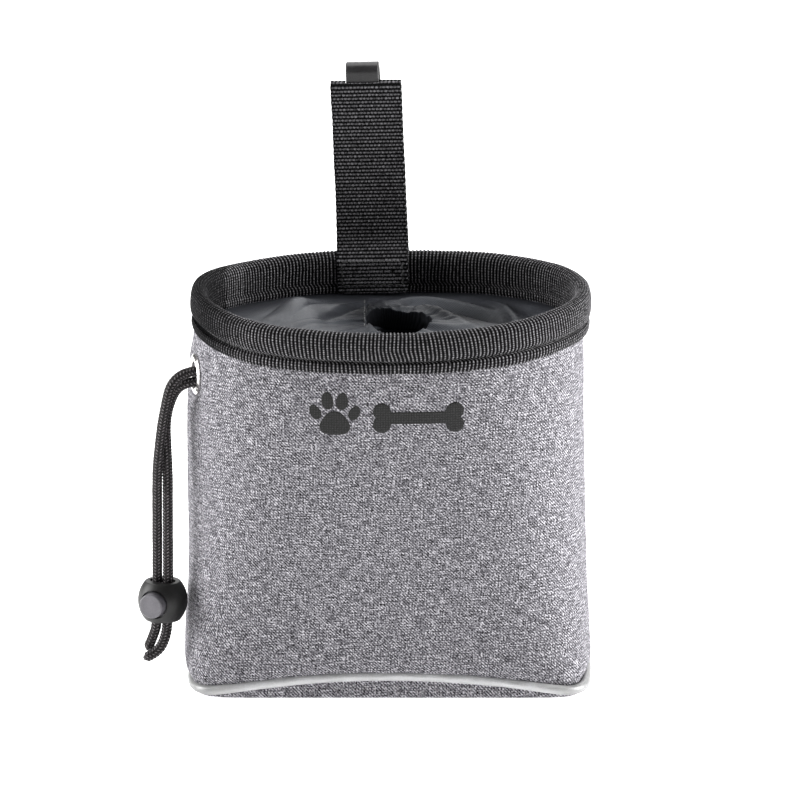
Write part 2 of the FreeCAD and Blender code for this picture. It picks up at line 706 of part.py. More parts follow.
strap_turn = Rotation(Vector(0, 0, 1), dim("strap_twist")) * Rotation(Vector(0, 1, 0), dim("strap_lean"))
strap_place = Placement(Vector(dim("strap_x"), dim("strap_y"), dim("strap_hinge_z")), strap_turn)
strap = new_body("strap_loop")
band = new_sketch(strap, "strap_band", "YZ_Plane")
long = dim("strap_long")


def stadium(sketch, radius, low, high):
    """An upright ring outline in (y, z): straight sides closed by half circles."""
    low_right, high_right = Vector(radius, low, 0), Vector(radius, high, 0)
    low_left, high_left = Vector(-radius, low, 0), Vector(-radius, high, 0)
    sketch.addGeometry(Part.LineSegment(low_right, high_right), False)
    sketch.addGeometry(Part.Arc(high_right, Vector(0, high + radius, 0), high_left), False)
    sketch.addGeometry(Part.LineSegment(high_left, low_left), False)
    sketch.addGeometry(Part.Arc(low_left, Vector(0, low - radius, 0), low_right), False)


full = web + pocket_gap / 2
stadium(band, full, 0.0, long - full)
stadium(band, pocket_gap / 2, 2.0, long - full)
pad(strap, band, "Dims.strap_wide", "strap_webbing", both=True)
fold_slot = new_sketch(strap, "strap_fold_slot")
clip_x = dim("clip_x")
add_rectangle(
    fold_slot, clip_x - dim("clip_slot") / 2, -pocket_gap / 2, clip_x + dim("clip_slot") / 2, 6.0
)
fold_slot.AttachmentOffset = Placement(Vector(0, 0, long - full), Rotation())
pocket(strap, fold_slot, "strap_clip_slot", reverse=True)
strap.Placement = strap_place

# ---------------------------------------------------------------- belt clip: hairpin, its outer leg springs
thin, bend = dim("clip_thick"), dim("clip_bend")
up = dim("clip_centre_up")


def clip_body(label, profile_edges):
    body = new_body(label)
    sketch = new_sketch(body, label + "_profile", "YZ_Plane")
    for edge in profile_edges:
        sketch.addGeometry(edge, False)
    pad(body, sketch, "Dims.clip_wide", label + "_strip", both=True)
    body.Placement = strap_place * Placement(Vector(clip_x, 0, 0), Rotation())
    return body


def line(p, q):
    return Part.LineSegment(Vector(*p, 0), Vector(*q, 0))


r_out, r_in = bend + thin / 2, bend - thin / 2
leg_low = up - dim("clip_inner_long")
inner_profile = [
    line((-thin / 2, up), (-thin / 2, leg_low)),
    line((-thin / 2, leg_low), (thin / 2, leg_low)),
    line((thin / 2, leg_low), (thin / 2, up)),
    Part.Arc(Vector(thin / 2, up, 0), Vector(bend, up + r_in, 0), Vector(bend + r_in, up, 0)),
    line((bend + r_in, up), (bend + r_out, up)),
    Part.Arc(Vector(bend + r_out, up, 0), Vector(bend, up + r_out, 0), Vector(-thin / 2, up, 0)),
]
clip_body("clip_spring", inner_profile)

# Outer leg: bows away from the strap, comes back to it, and ends in a flared tip.
leg_top = up - 0.05
LEG = [
    (2 * bend, leg_top),
    (2 * bend + 2.6, up - 15.0),
    (2 * bend + 2.6, up - 29.0),
    (2 * bend - 0.8, up - 43.0),
    (2 * bend + 1.4, up - dim("clip_outer_long")),
]


def offset_line(points, side):
    found = []
    for i, (y, z) in enumerate(points):
        y0, z0 = points[max(i - 1, 0)]
        y1, z1 = points[min(i + 1, len(points) - 1)]
        size = math.hypot(y1 - y0, z1 - z0)
        ny_, nz_ = -(z1 - z0) / size, (y1 - y0) / size
        if i == 0:
            ny_, nz_ = 1.0, 0.0
        found.append((y + side * ny_ * thin / 2, z + side * nz_ * thin / 2))
    return found


right, left = offset_line(LEG, 1), offset_line(LEG, -1)
leg_profile = [line(p, q) for p, q in zip(right, right[1:])]
leg_profile += [line(p, q) for p, q in zip(left, left[1:])]
leg_profile += [line(right[0], left[0]), line(right[-1], left[-1])]
clip_body("clip_leg", leg_profile)

# Two rivets through the inner leg and the webbing behind it.
rivet_parts = []
for z in (leg_low + 5.0, leg_low + 15.0):
    along_y = Vector(0, 1, 0)
    shank = Part.makeCylinder(
        dim("rivet_radius"), thin + web + 0.15, Vector(clip_x, -thin / 2, z), along_y
    )
    head = Part.makeCylinder(dim("rivet_head"), 0.6, Vector(clip_x, full + 0.02, z), along_y)
    rivet_parts.append(shank.fuse(head).removeSplitter())
rivets = Part.makeCompound(rivet_parts)
new_feature("clip_rivets", rivets, strap_place)
spring = next(n for n in NODES if n.Label == "clip_spring")
for body, centre_x in ((strap, clip_x), (spring, 0.0)):
    lift = "0.65 mm" if body is strap else "1 mm"
    holes = new_sketch(body, body.Label + "_rivet_holes", "XZ_Plane", lift=lift)
    for z in (leg_low + 5.0, leg_low + 15.0):
        add_circle(holes, centre_x, z, "Dims.rivet_radius", dim("rivet_radius"))
    pocket(body, holes, body.Label + "_rivet_drill", "4 mm" if body is strap else "3 mm")
doc.recompute()

# ---------------------------------------------------------------- checks and export
for obj in doc.Objects:
    if "Invalid" in obj.State or "Error" in obj.State:
        raise RuntimeError("%s: %s" % (obj.Label, obj.State))
labels = [n.Label for n in NODES]
if len(set(labels)) != len(labels):
    raise RuntimeError("two nodes share a label")
for node in NODES:
    if node.Shape.isNull() or not node.Shape.isValid():
        raise RuntimeError("%s has no valid shape" % node.Label)

os.makedirs("parts", exist_ok=True)
for old in os.listdir("parts"):
    if old.endswith(".step") and old[:-5] not in labels:
        os.remove(os.path.join("parts", old))
for node in NODES:
    node.Shape.exportStep("parts/%s.step" % node.Label)
    box = node.Shape.BoundBox
    print("%-18s solids %d  volume %9.1f  x %.1f..%.1f  y %.1f..%.1f  z %.1f..%.1f" % (
        node.Label, len(node.Shape.Solids), node.Shape.Volume,
        box.XMin, box.XMax, box.YMin, box.YMax, box.ZMin, box.ZMax))
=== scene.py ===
"""Looks of a drawstring treat pouch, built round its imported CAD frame.

The code works in millimetres and mesh_piece() turns them into metres.
X is to the right, -Y is the front, Z is up.
"""

import math

import bmesh
import bpy
import numpy as np
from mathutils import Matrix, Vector
from mathutils.bvhtree import BVHTree


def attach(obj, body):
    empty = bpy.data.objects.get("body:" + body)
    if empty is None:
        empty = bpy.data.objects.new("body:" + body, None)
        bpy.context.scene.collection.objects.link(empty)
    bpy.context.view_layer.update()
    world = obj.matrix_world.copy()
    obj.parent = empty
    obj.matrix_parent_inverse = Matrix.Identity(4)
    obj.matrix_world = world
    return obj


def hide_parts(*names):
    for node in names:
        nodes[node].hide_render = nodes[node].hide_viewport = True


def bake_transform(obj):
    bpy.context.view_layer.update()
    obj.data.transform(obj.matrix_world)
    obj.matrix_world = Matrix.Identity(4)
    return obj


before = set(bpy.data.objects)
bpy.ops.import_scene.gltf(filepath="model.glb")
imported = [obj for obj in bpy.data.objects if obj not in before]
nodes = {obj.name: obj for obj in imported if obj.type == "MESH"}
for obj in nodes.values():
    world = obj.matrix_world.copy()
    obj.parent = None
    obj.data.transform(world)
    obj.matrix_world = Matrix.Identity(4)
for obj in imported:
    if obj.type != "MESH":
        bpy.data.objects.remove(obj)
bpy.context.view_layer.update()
MM = 0.001
SCENE = bpy.context.scene

# ---------------------------------------------------------------- camera

ELEVATION = math.radians(15.5)
AIM = Vector((0.0037, 0.0, 0.1022))
DISTANCE = 8.0
camera_data = bpy.data.cameras.new("camera")
camera_data.lens = 1015.0
camera_data.sensor_width = 36.0
camera_data.clip_start, camera_data.clip_end = 0.05, 60.0
camera = bpy.data.objects.new("camera", camera_data)
SCENE.collection.objects.link(camera)
back = Vector((0.0, -math.cos(ELEVATION), math.sin(ELEVATION)))
camera.location = AIM + DISTANCE * back
camera.rotation_mode = "QUATERNION"
camera.rotation_quaternion = (-back).to_track_quat("-Z", "Y")
SCENE.camera = camera

# ---------------------------------------------------------------- small maths


def noise(x, y, seed):
    """Smooth noise from -1 to 1 on a seeded 64 x 64 lattice that repeats."""
    lattice = np.random.default_rng(seed).uniform(-1, 1, (64, 64))
    i, j = np.floor(x).astype(int), np.floor(y).astype(int)
    u, v = x - i, y - j
    u, v = u * u * (3 - 2 * u), v * v * (3 - 2 * v)

    def at(a, b):
        return lattice[a % 64, b % 64]

    low = at(i, j) * (1 - u) + at(i + 1, j) * u
    high = at(i, j + 1) * (1 - u) + at(i + 1, j + 1) * u
    return low * (1 - v) + high * v


def step(value, low, high):
    """Smooth step from 0 at low to 1 at high."""
    t = np.clip((value - low) / (high - low), 0, 1)
    return t * t * (3 - 2 * t)


def unit(v):
    return v / np.maximum(np.linalg.norm(v, axis=-1, keepdims=True), 1e-12)


def arc_lengths(line):
    return np.concatenate([[0], np.cumsum(np.linalg.norm(np.diff(line, axis=0), axis=1))])


def resampled(line, count):
    """count points evenly spaced along the line."""
    line = np.asarray(line, float)
    along = arc_lengths(line)
    at = np.linspace(0, along[-1], count)
    return np.stack([np.interp(at, along, c) for c in line.T], axis=1)


def rounded(points, times=3, closed=False):
    """The line with its corners cut a few times."""
    p = np.asarray(points, float)
    for _ in range(times):
        q = np.roll(p, -1, 0) if closed else p[1:]
        a = p if closed else p[:-1]
        cut = np.stack([0.75 * a + 0.25 * q, 0.25 * a + 0.75 * q], 1).reshape(-1, p.shape[1])
        p = cut if closed else np.vstack([p[:1], cut, p[-1:]])
    return p


def normals(grid, wrap=False):
    """Unit normals of a grid of points [row, column]."""
    if wrap:
        du = np.roll(grid, -1, 1) - np.roll(grid, 1, 1)
    else:
        du = np.gradient(grid, axis=1)
    dv = np.gradient(grid, axis=0)
    return unit(np.cross(du, dv))


# ---------------------------------------------------------------- meshes


def mesh_piece(name, points, faces, material, cloth=None, closed=False):
    """A mesh object from points in millimetres. cloth is a vector for each point, which materials read."""
    points = np.asarray(points, float).reshape(-1, 3)
    if closed:  # turned the right way out
        fans = np.array([(f[0], f[k], f[k + 1]) for f in faces for k in range(1, len(f) - 1)])
        a, b, c = (points[fans[:, k]] for k in range(3))
        if (a * np.cross(b, c)).sum() < 0:
            faces = [tuple(reversed(f)) for f in faces]
    mesh = bpy.data.meshes.new(name)
    mesh.from_pydata((points * MM).tolist(), [], [tuple(int(i) for i in f) for f in faces])
    mesh.update()
    mesh.shade_smooth()
    if cloth is not None:
        store = mesh.attributes.new("cloth", "FLOAT_VECTOR", "POINT")
        store.data.foreach_set("vector", np.asarray(cloth, np.float32).ravel())
    mesh.materials.append(material)
    o = bpy.data.objects.new(name, mesh)
    SCENE.collection.objects.link(o)
    return o


def grid_faces(rows, columns, wrap_u=False, wrap_v=False, first=0):
    i = np.arange(rows * columns).reshape(rows, columns) + first
    if wrap_u:
        i = np.concatenate([i, i[:, :1]], 1)
    if wrap_v:
        i = np.concatenate([i, i[:1]], 0)
    return np.stack([i[:-1, :-1], i[:-1, 1:], i[1:, 1:], i[1:, :-1]], -1)


def cloth_piece(name, grid, material, cloth, thickness, wrap=False, keep=None, floor=False, offset=-1.0):
    """A cloth of real thickness from a grid of points. floor fills the first row, and keep says which faces stay."""
    rows, columns = grid.shape[:2]
    faces = grid_faces(rows, columns, wrap_u=wrap)
    if keep is not None:
        faces = faces[keep]
    faces = faces.reshape(-1, 4).tolist()
    if floor:
        faces.append(list(range(columns))[::-1])
    o = mesh_piece(name, grid, faces, material, cloth)
    thick = o.modifiers.new("thickness", "SOLIDIFY")
    thick.thickness, thick.offset, thick.use_even_offset = thickness * MM, offset, False
    return o


def frames_along(line):
    """Tangents and two normals along an open line, without twist."""
    tangent = unit(np.gradient(line, axis=0))
    side = np.zeros_like(line)
    side[0] = unit(np.cross(tangent[0], [0.3, 0.2, 1.0] if abs(tangent[0][2]) < 0.9 else [1.0, 0, 0]))
    for k in range(1, len(line)):
        side[k] = side[k - 1] - (side[k - 1] @ tangent[k]) * tangent[k]
        side[k] /= np.linalg.norm(side[k])
    return tangent, side, np.cross(tangent, side)


def ringed(line, side, other, radius, sides):
    """Rings of points round a line. radius is one value, or one for each ring and side."""
    turn = np.linspace(0, 2 * np.pi, sides, endpoint=False)
    radius = np.broadcast_to(radius, (len(line), sides))[..., None]
    return line[:, None] + radius * (
        np.cos(turn)[None, :, None] * side[:, None] + np.sin(turn)[None, :, None] * other[:, None]
    )


def joined(name, parts, material, closed=True):
    """One mesh object from several (points, faces) parts."""
    points, faces, first = [], [], 0
    for p, f in parts:
        p = np.asarray(p, float).reshape(-1, 3)
        points.append(p)
        faces += [tuple(i + first for i in face) for face in f]
        first += len(p)
    points = np.vstack(points)
    return mesh_piece(name, points, faces, material, points, closed)


def stitches(line, up, length=2.6, gap=0.5, radius=0.2, lift=0.16):
    """Thread stitches along a line on a surface, whose normals are up. Returns parts for joined()."""
    along = arc_lengths(line)
    parts, at = [], 0.4
    while at + length < along[-1]:
        t = np.linspace(0, 1, 7)
        where = at + t * length
        p = np.stack([np.interp(where, along, c) for c in line.T], 1)
        n = unit(np.stack([np.interp(where, along, c) for c in up.T], 1))
        p = p + n * (lift * np.sin(np.pi * t)[:, None] ** 0.6 - 0.08)
        tangent = unit(np.gradient(p, axis=0))
        side = unit(np.cross(tangent, n))
        size = radius * (0.35 + 0.65 * np.sin(np.pi * t)[:, None] ** 0.4)
        rings = ringed(p, n, side, size, 8)
        faces = grid_faces(7, 8, wrap_u=True).reshape(-1, 4).tolist()
        faces += [list(range(8))[::-1], list(range(48, 56))]
        parts.append((rings, faces))
        at += length + gap
    return parts


# ---------------------------------------------------------------- materials


class Shader:
    """A Principled material with short ways to add its nodes."""

    def __init__(self, name, **values):
        self.material = bpy.data.materials.new(name)
        self.material.use_nodes = True
        self.nodes, self.links = self.material.node_tree.nodes, self.material.node_tree.links
        self.bsdf = self.nodes["Principled BSDF"]
        for key, value in values.items():
            self.bsdf.inputs[key.replace("_", " ")].default_value = value

    def put(self, socket, value):
        if isinstance(value, bpy.types.NodeSocket):
            self.links.new(value, socket)
        else:
            socket.default_value = value

    def cloth(self):
        node = self.nodes.new("ShaderNodeAttribute")
        node.attribute_name = "cloth"
        return node.outputs["Vector"]

    def place(self):
        """The point in the object's own space, in millimetres."""
        node = self.nodes.new("ShaderNodeTexCoord")
        return self.scaled(node.outputs["Object"], (1000, 1000, 1000))

    def scaled(self, vector, scale):
        node = self.nodes.new("ShaderNodeVectorMath")
        node.operation = "MULTIPLY"
        self.put(node.inputs[0], vector)
        node.inputs[1].default_value = scale
        return node.outputs[0]

    def parts(self, vector):
        node = self.nodes.new("ShaderNodeSeparateXYZ")
        self.put(node.inputs[0], vector)
        return node.outputs

    def math(self, operation, *values):
        node = self.nodes.new("ShaderNodeMath")
        node.operation = operation
        for socket, value in zip(node.inputs, values):
            self.put(socket, value)
        return node.outputs[0]

    def wave(self, phase):
        """From 0 to 1 and back for each whole number of phase."""
        turned = self.math("MULTIPLY", phase, 2 * math.pi)
        return self.math("MULTIPLY_ADD", self.math("COSINE", turned), 0.5, 0.5)

    def noise(self, vector, scale=1.0, detail=2.0, rough=0.5):
        node = self.nodes.new("ShaderNodeTexNoise")
        self.put(node.inputs["Vector"], vector)
        node.inputs["Scale"].default_value = scale
        node.inputs["Detail"].default_value = detail
        node.inputs["Roughness"].default_value = rough
        return node.outputs["Fac"]

    def ramp(self, value, *stops):
        """Colours at positions: (position, (r, g, b)) or (position, grey)."""
        node = self.nodes.new("ShaderNodeValToRGB")
        self.put(node.inputs[0], value)
        points = node.color_ramp.elements
        while len(points) < len(stops):
            points.new(0.5)
        for point, (position, colour) in zip(points, stops):
            if not isinstance(colour, tuple):
                colour = (colour, colour, colour)
            point.position, point.color = position, (*colour, 1.0)
        return node.outputs["Color"]

    def finish(self, colour, height=None, depth=0.1, strength=1.0, roughness=None):
        """Joins colour, bump (depth in millimetres) and roughness to the shader, and returns the material."""
        self.links.new(colour, self.bsdf.inputs["Base Color"])
        if height is not None:
            bump = self.nodes.new("ShaderNodeBump")
            bump.inputs["Strength"].default_value = strength
            bump.inputs["Distance"].default_value = depth * MM
            self.links.new(height, bump.inputs["Height"])
            self.links.new(bump.outputs["Normal"], self.bsdf.inputs["Normal"])
        if roughness is not None:
            self.links.new(roughness, self.bsdf.inputs["Roughness"])
        return self.material


def shell_cloth():
    """Grey melange plain weave: dark and pale slubs along both threads."""
    s = Shader("shell_cloth", Roughness=0.9, Specular_IOR_Level=0.15)
    at = s.cloth()
    x, y, paler = s.parts(at)
    weft = s.noise(s.scaled(at, (0.22, 2.1, 1)), detail=2.0, rough=0.6)
    warp = s.noise(s.scaled(at, (2.1, 0.22, 1)), detail=2.0, rough=0.6)
    speck = s.noise(s.scaled(at, (1.5, 1.5, 1)), detail=1.0)
    twill = s.wave(s.math("MULTIPLY", s.math("ADD", x, y), 0.83))
    over = s.wave(s.math("MULTIPLY", x, 1.1))
    under = s.wave(s.math("MULTIPLY", y, 1.1))
    mixed = s.math("MULTIPLY_ADD", s.math("SUBTRACT", weft, warp), twill, warp)
    tone = s.math("MULTIPLY_ADD", s.math("SUBTRACT", speck, 0.5), 0.65, mixed)
    tone = s.math("MULTIPLY_ADD", s.math("SUBTRACT", twill, 0.5), 0.16, tone)
    # cloth z is painted light: the base's edge rows set it to make them paler
    tone = s.math("MULTIPLY_ADD", s.math("SUBTRACT", tone, 0.5), 1.9, s.math("ADD", paler, 0.5))
    colour = s.ramp(
        tone,
        (0.10, (0.009, 0.0085, 0.0095)),
        (0.38, (0.092, 0.089, 0.100)),
        (0.60, (0.222, 0.216, 0.236)),
        (0.92, (0.69, 0.675, 0.715)),
    )
    height = s.math("ADD", s.math("MULTIPLY", over, under), s.math("MULTIPLY", tone, 0.8))
    return s.finish(colour, height, 0.16, 0.7)


def ribbed(name, dark, light):
    """Black ribbed tape. cloth x counts ribs, and y is millimetres along a rib."""
    s = Shader(name, Roughness=0.8, Specular_IOR_Level=0.1)
    at = s.cloth()
    x, y, tone_scale = s.parts(at)
    rib = s.wave(x)
    thread = s.noise(s.scaled(at, (0.8, 1.4, 1)), detail=2.0)
    fine = s.wave(s.math("MULTIPLY", y, 1.05))
    tone = s.math("MULTIPLY", s.math("POWER", rib, 3.0), s.math("MULTIPLY_ADD", thread, 2.6, -0.55))
    tone = s.math("MULTIPLY", tone, s.math("MULTIPLY_ADD", fine, 0.75, 0.25))
    # cloth z scales the tone; on the rim it is painted shade, darker at the tape's ends and paler on the lap
    tone = s.math("MULTIPLY", tone, tone_scale)
    colour = s.ramp(tone, (0.03, dark), (0.85, light))
    return s.finish(colour, s.math("ADD", fine, thread), 0.07, 0.8)


def webbing_cloth():
    """Black webbing: cloth x counts warp columns and y counts rows of small pale dashes."""
    s = Shader("webbing", Roughness=0.8, Specular_IOR_Level=0.1)
    at = s.cloth()
    x, y, tone_scale = s.parts(at)
    row = s.wave(y)
    half = s.math("MULTIPLY", s.math("FLOOR", s.math("ADD", y, 0.5)), 0.5)
    dash = s.wave(s.math("ADD", x, half))
    thread = s.noise(s.scaled(at, (1.3, 1.0, 1)), detail=2.0)
    tone = s.math("MULTIPLY", s.math("POWER", row, 7.0), s.math("MULTIPLY_ADD", dash, 0.9, 0.1))
    tone = s.math("MULTIPLY", tone, s.math("MULTIPLY_ADD", thread, 2.8, -0.7))
    tone = s.math("MULTIPLY", tone, tone_scale)
    colour = s.ramp(tone, (0.06, (0.0018, 0.0018, 0.0021)), (0.9, (0.27, 0.265, 0.28)))
    return s.finish(colour, s.math("MULTIPLY_ADD", thread, 0.5, dash), 0.08, 0.8)


def nylon(name, colour_low, colour_high):
    """Thin black nylon with a fine twill and a cool gloss."""
    s = Shader(name)
    s.bsdf.inputs["Specular Tint"].default_value = (0.80, 0.88, 1.0, 1.0)
    at = s.cloth()
    x, y, painted_shade = s.parts(at)
    # cloth z is painted shade: it lowers the specular and darkens the colour
    s.links.new(s.math("MULTIPLY_ADD", painted_shade, -0.35, 0.35), s.bsdf.inputs["Specular IOR Level"])
    twill = s.wave(s.math("MULTIPLY", s.math("ADD", x, y), 1.25))
    cross = s.wave(s.math("MULTIPLY", s.math("SUBTRACT", x, y), 1.25))
    cloud = s.noise(at, 0.12, 3.0)
    fine = s.noise(at, 2.6, 1.0)
    mottle = s.math("MULTIPLY_ADD", fine, 0.5, s.math("MULTIPLY", cloud, 0.3))
    tone = s.math("MULTIPLY_ADD", twill, 0.35, mottle)
    tone = s.math("MULTIPLY", tone, s.math("MULTIPLY_ADD", painted_shade, -0.8, 1.0))
    colour = s.ramp(tone, (0.2, colour_low), (0.85, colour_high))
    rough = s.math("MULTIPLY_ADD", fine, 0.25, 0.3)
    return s.finish(colour, s.math("ADD", twill, s.math("MULTIPLY", cross, 0.6)), 0.06, 0.6, rough)


def reflective_tape():
    """Silver tape of fine glass beads, with small cross wrinkles."""
    s = Shader("reflective", Metallic=0.25, Specular_IOR_Level=0.5)
    at = s.cloth()
    beads = s.noise(at, 3.5, 1.0)
    _, _, painted_corner_shade = s.parts(at)
    patch = s.noise(s.scaled(at, (0.12, 0.3, 1)), detail=3.0)
    wrinkle = s.noise(s.scaled(at, (1.1, 0.15, 1)), detail=2.0)
    # cloth z is painted shade that darkens the tape towards the piping's corners
    tone = s.math("MULTIPLY", s.math("MULTIPLY_ADD", beads, 0.4, s.math("MULTIPLY", patch, 0.6)), painted_corner_shade)
    colour = s.ramp(tone, (0.0, 0.06), (0.3, 0.42), (0.7, (0.72, 0.72, 0.735)))
    rough = s.math("MULTIPLY_ADD", patch, 0.25, 0.32)
    return s.finish(colour, s.math("ADD", wrinkle, s.math("MULTIPLY", beads, 0.4)), 0.10, 0.6, rough)


def braid():
    """Black polyester braid: cloth x is across a strand, y along it and z along the cord."""
    s = Shader("braid", Roughness=0.6, Specular_IOR_Level=0.15)
    at = s.cloth()
    x, y, _ = s.parts(at)
    across = s.wave(s.math("ADD", x, 0.5))
    filament = s.noise(s.scaled(at, (9.0, 0.6, 0.6)), detail=2.0)
    tone = s.math("MULTIPLY", s.math("POWER", across, 2.2), s.math("MULTIPLY_ADD", filament, 2.4, -0.5))
    tone = s.math("MULTIPLY", tone, s.math("POWER", s.wave(s.math("ADD", y, 0.5)), 1.5))
    colour = s.ramp(tone, (0.03, (0.004, 0.0035, 0.0035)), (0.7, (0.25, 0.232, 0.24)))
    return s.finish(colour, filament, 0.06, 0.8)


def moulded(name, low, high, rough, grain=1.6):
    """Moulded plastic or paint with a fine grain and faint flow marks."""
    s = Shader(name, Specular_IOR_Level=0.4)
    at = s.place()
    fine = s.noise(at, grain * 3, 2.0)
    cloud = s.noise(at, 0.18, 3.0)
    scuff = s.noise(s.scaled(at, (0.3, 0.3, 2.5)), detail=4.0, rough=0.7)
    tone = s.math("MULTIPLY_ADD", fine, 0.5, s.math("MULTIPLY", cloud, 0.5))
    colour = s.ramp(tone, (0.3, low), (0.7, high))
    roughness = s.math("MULTIPLY_ADD", scuff, 0.22, rough - 0.11)
    return s.finish(colour, s.math("ADD", fine, s.math("MULTIPLY", cloud, 0.5)), 0.03, 0.5, roughness)


def metal(name, low, high, rough, tint=None):
    s = Shader(name, Metallic=1.0)
    at = s.place()
    brushed = s.noise(s.scaled(at, (3.0, 3.0, 0.4)), detail=4.0, rough=0.7)
    spots = s.noise(at, 0.7, 3.0)
    tone = s.math("MULTIPLY_ADD", brushed, 0.4, s.math("MULTIPLY", spots, 0.6))
    colour = s.ramp(tone, (0.3, low), (0.7, high))
    roughness = s.math("MULTIPLY_ADD", brushed, 0.2, rough - 0.1)
    return s.finish(colour, brushed, 0.01, 0.3, roughness)


def board_sheet():
    s = Shader("board", Roughness=0.7)
    at = s.place()
    grain = s.noise(at, 1.5, 4.0)
    return s.finish(s.ramp(grain, (0.3, 0.02), (0.7, 0.05)), grain, 0.08, 0.6)


def printed_ink():
    """Flat screen ink that takes the cloth's weave."""
    s = Shader("print_ink", Roughness=0.75, Specular_IOR_Level=0.3)
    at = s.cloth()
    x, y, _ = s.parts(at)
    weave = s.math("MULTIPLY", s.wave(s.math("MULTIPLY", x, 1.1)), s.wave(s.math("MULTIPLY", y, 1.1)))
    worn = s.noise(at, 1.6, 3.0)
    tone = s.math("MULTIPLY_ADD", weave, 0.35, s.math("MULTIPLY", worn, 0.8))
    return s.finish(s.ramp(tone, (0.35, 0.009), (0.80, 0.035)), weave, 0.12, 0.7)


def thread_black():
    s = Shader("thread", Roughness=0.6, Sheen_Weight=0.3)
    twist = s.noise(s.place(), 3.0, 2.0)
    return s.finish(s.ramp(twist, (0.35, 0.008), (0.7, 0.06)), twist, 0.05, 0.8)


SHELL = shell_cloth()
TAPE = ribbed("rim_tape", (0.003, 0.003, 0.0035), (0.36, 0.352, 0.368))
WEBBING = webbing_cloth()
NYLON = nylon("collar_nylon", (0.004, 0.0042, 0.005), (0.040, 0.042, 0.050))
# the collar's nylon with darker colours: painted shade for the inside of the bag
SHADED_LINING = nylon("lining_nylon_shaded", (0.003, 0.0031, 0.0036), (0.016, 0.0165, 0.020))
SILVER = reflective_tape()
BRAID = braid()
NICKEL = metal("nickel", (0.52, 0.50, 0.48), (0.80, 0.78, 0.765), 0.16)
STEEL = metal("spring_steel", (0.40, 0.40, 0.41), (0.62, 0.62, 0.63), 0.32)
CLIP_PAINT = moulded("clip_paint", (0.008, 0.008, 0.0085), (0.042, 0.040, 0.042), 0.32, 1.2)
LOCK_PLASTIC = moulded("lock_plastic", (0.005, 0.005, 0.0049), (0.016, 0.0156, 0.0152), 0.46)
BUTTON_PLASTIC = moulded("button_plastic", (0.078, 0.075, 0.083), (0.172, 0.165, 0.182), 0.34)
BOARD = board_sheet()
INK = printed_ink()
THREAD = thread_black()

# ---------------------------------------------------------------- cords

CORD = 3.7
CARRIERS = 8
CROSSING = 1.15  # one braid crossing along the cord


def route_line(points):
    """The smooth line of a NURBS spline through a cord's route, read from a curve with no bevel."""
    data = bpy.data.curves.new("route", "CURVE")
    data.dimensions, data.resolution_u = "3D", 24
    spline = data.splines.new("NURBS")
    spline.points.add(len(points) - 1)
    for point, co in zip(spline.points, points):
        point.co = (*(c * MM for c in co), 1.0)
    spline.order_u, spline.use_endpoint_u = 3, True
    o = bpy.data.objects.new("route", data)
    mesh = bpy.data.meshes.new_from_object(o)
    line = np.array([v.co for v in mesh.vertices], float) / MM
    bpy.data.meshes.remove(mesh)
    bpy.data.objects.remove(o)
    bpy.data.curves.remove(data)
    return line


def braided(name, points, melted=False):
    """A round braid that follows a route: over two, under two, as a mesh. Returns the object and its line."""
    line = route_line(points)
    length = arc_lengths(line)[-1]
    rows, sides = int(length / 0.2) + 1, 48
    line = resampled(line, rows)
    s = np.linspace(0, length, rows)[:, None]
    turn = np.linspace(0, 1, sides, endpoint=False)[None]
    one, two = CARRIERS * turn + s / CROSSING, CARRIERS * turn - s / CROSSING
    cell = (np.floor(one) + np.floor(two)) % 4
    first = cell < 2
    across = np.where(first, one % 1, two % 1)
    along = np.where(first, (cell + two % 1) / 2, (cell - 2 + one % 1) / 2)
    height = np.sin(np.pi * across) ** 0.7 * (0.5 + 0.5 * np.sin(np.pi * along))
    radius = CORD / 2 - 0.27 + 0.33 * height + 0.05 * noise(s / 3 + 0 * turn, turn * 5 + 0 * s, 5)
    if melted:
        end = step(s, length - 1.9, length - 0.2)
        lump = 0.22 * noise(turn * 7 + 0 * s, s / 0.8 + 0 * turn, 6)
        radius = radius * (1 - end) + end * (1.15 + lump) * np.sqrt(np.clip(1 - (s - length + 1.9) ** 2 / 4.4, 0.03, 1))
    strand = np.where(first, np.floor(one), 100 + np.floor(two))
    cloth = np.stack([across + strand * 3, along + strand * 7, s + 0 * turn], -1)
    _, side, other = frames_along(line)
    rings = ringed(line, side, other, radius, sides)
    faces = grid_faces(rows, sides, wrap_u=True).reshape(-1, 4).tolist()
    faces += [list(range(sides))[::-1], list(range((rows - 1) * sides, rows * sides))]
    o = mesh_piece(name + "_braid", rings, faces, BRAID, cloth, closed=True)
    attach(o, "bag")
    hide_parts(name)
    return o, line


TAILS = {
    "cord_tail_a": [
        (-64.416, -10.020, 116.113),
        (-71.611, -11.747, 116.278),
        (-77.6, -14.0, 112.1),
        (-79.4, -14.4, 103.8),
        (-80.993, -14.181, 94),
        (-81.849, -14.005, 86),
        (-82.392, -13.372, 78),
        (-82.392, -12.528, 70),
        (-82.392, -12.528, 24.6),
        (-83.6, -12.2, 19.0),
        (-86.2, -11.9, 13.4),
    ],
    "cord_tail_b": [
        (-64.416, -10.020, 112.363),
        (-70.250, -11.421, 112.315),
        (-75.9, -10.2, 109.3),
        (-78.9, -9.6, 101.0),
        (-79.407, -10.619, 94),
        (-78.951, -11.395, 86),
        (-78.608, -12.428, 78),
        (-78.608, -13.472, 70),
        (-78.608, -13.472, 24.6),
        (-79.6, -14.2, 18.4),
        (-82.4, -15.2, 13.2),
        (-87.4, -15.4, 11.3),
    ],
}
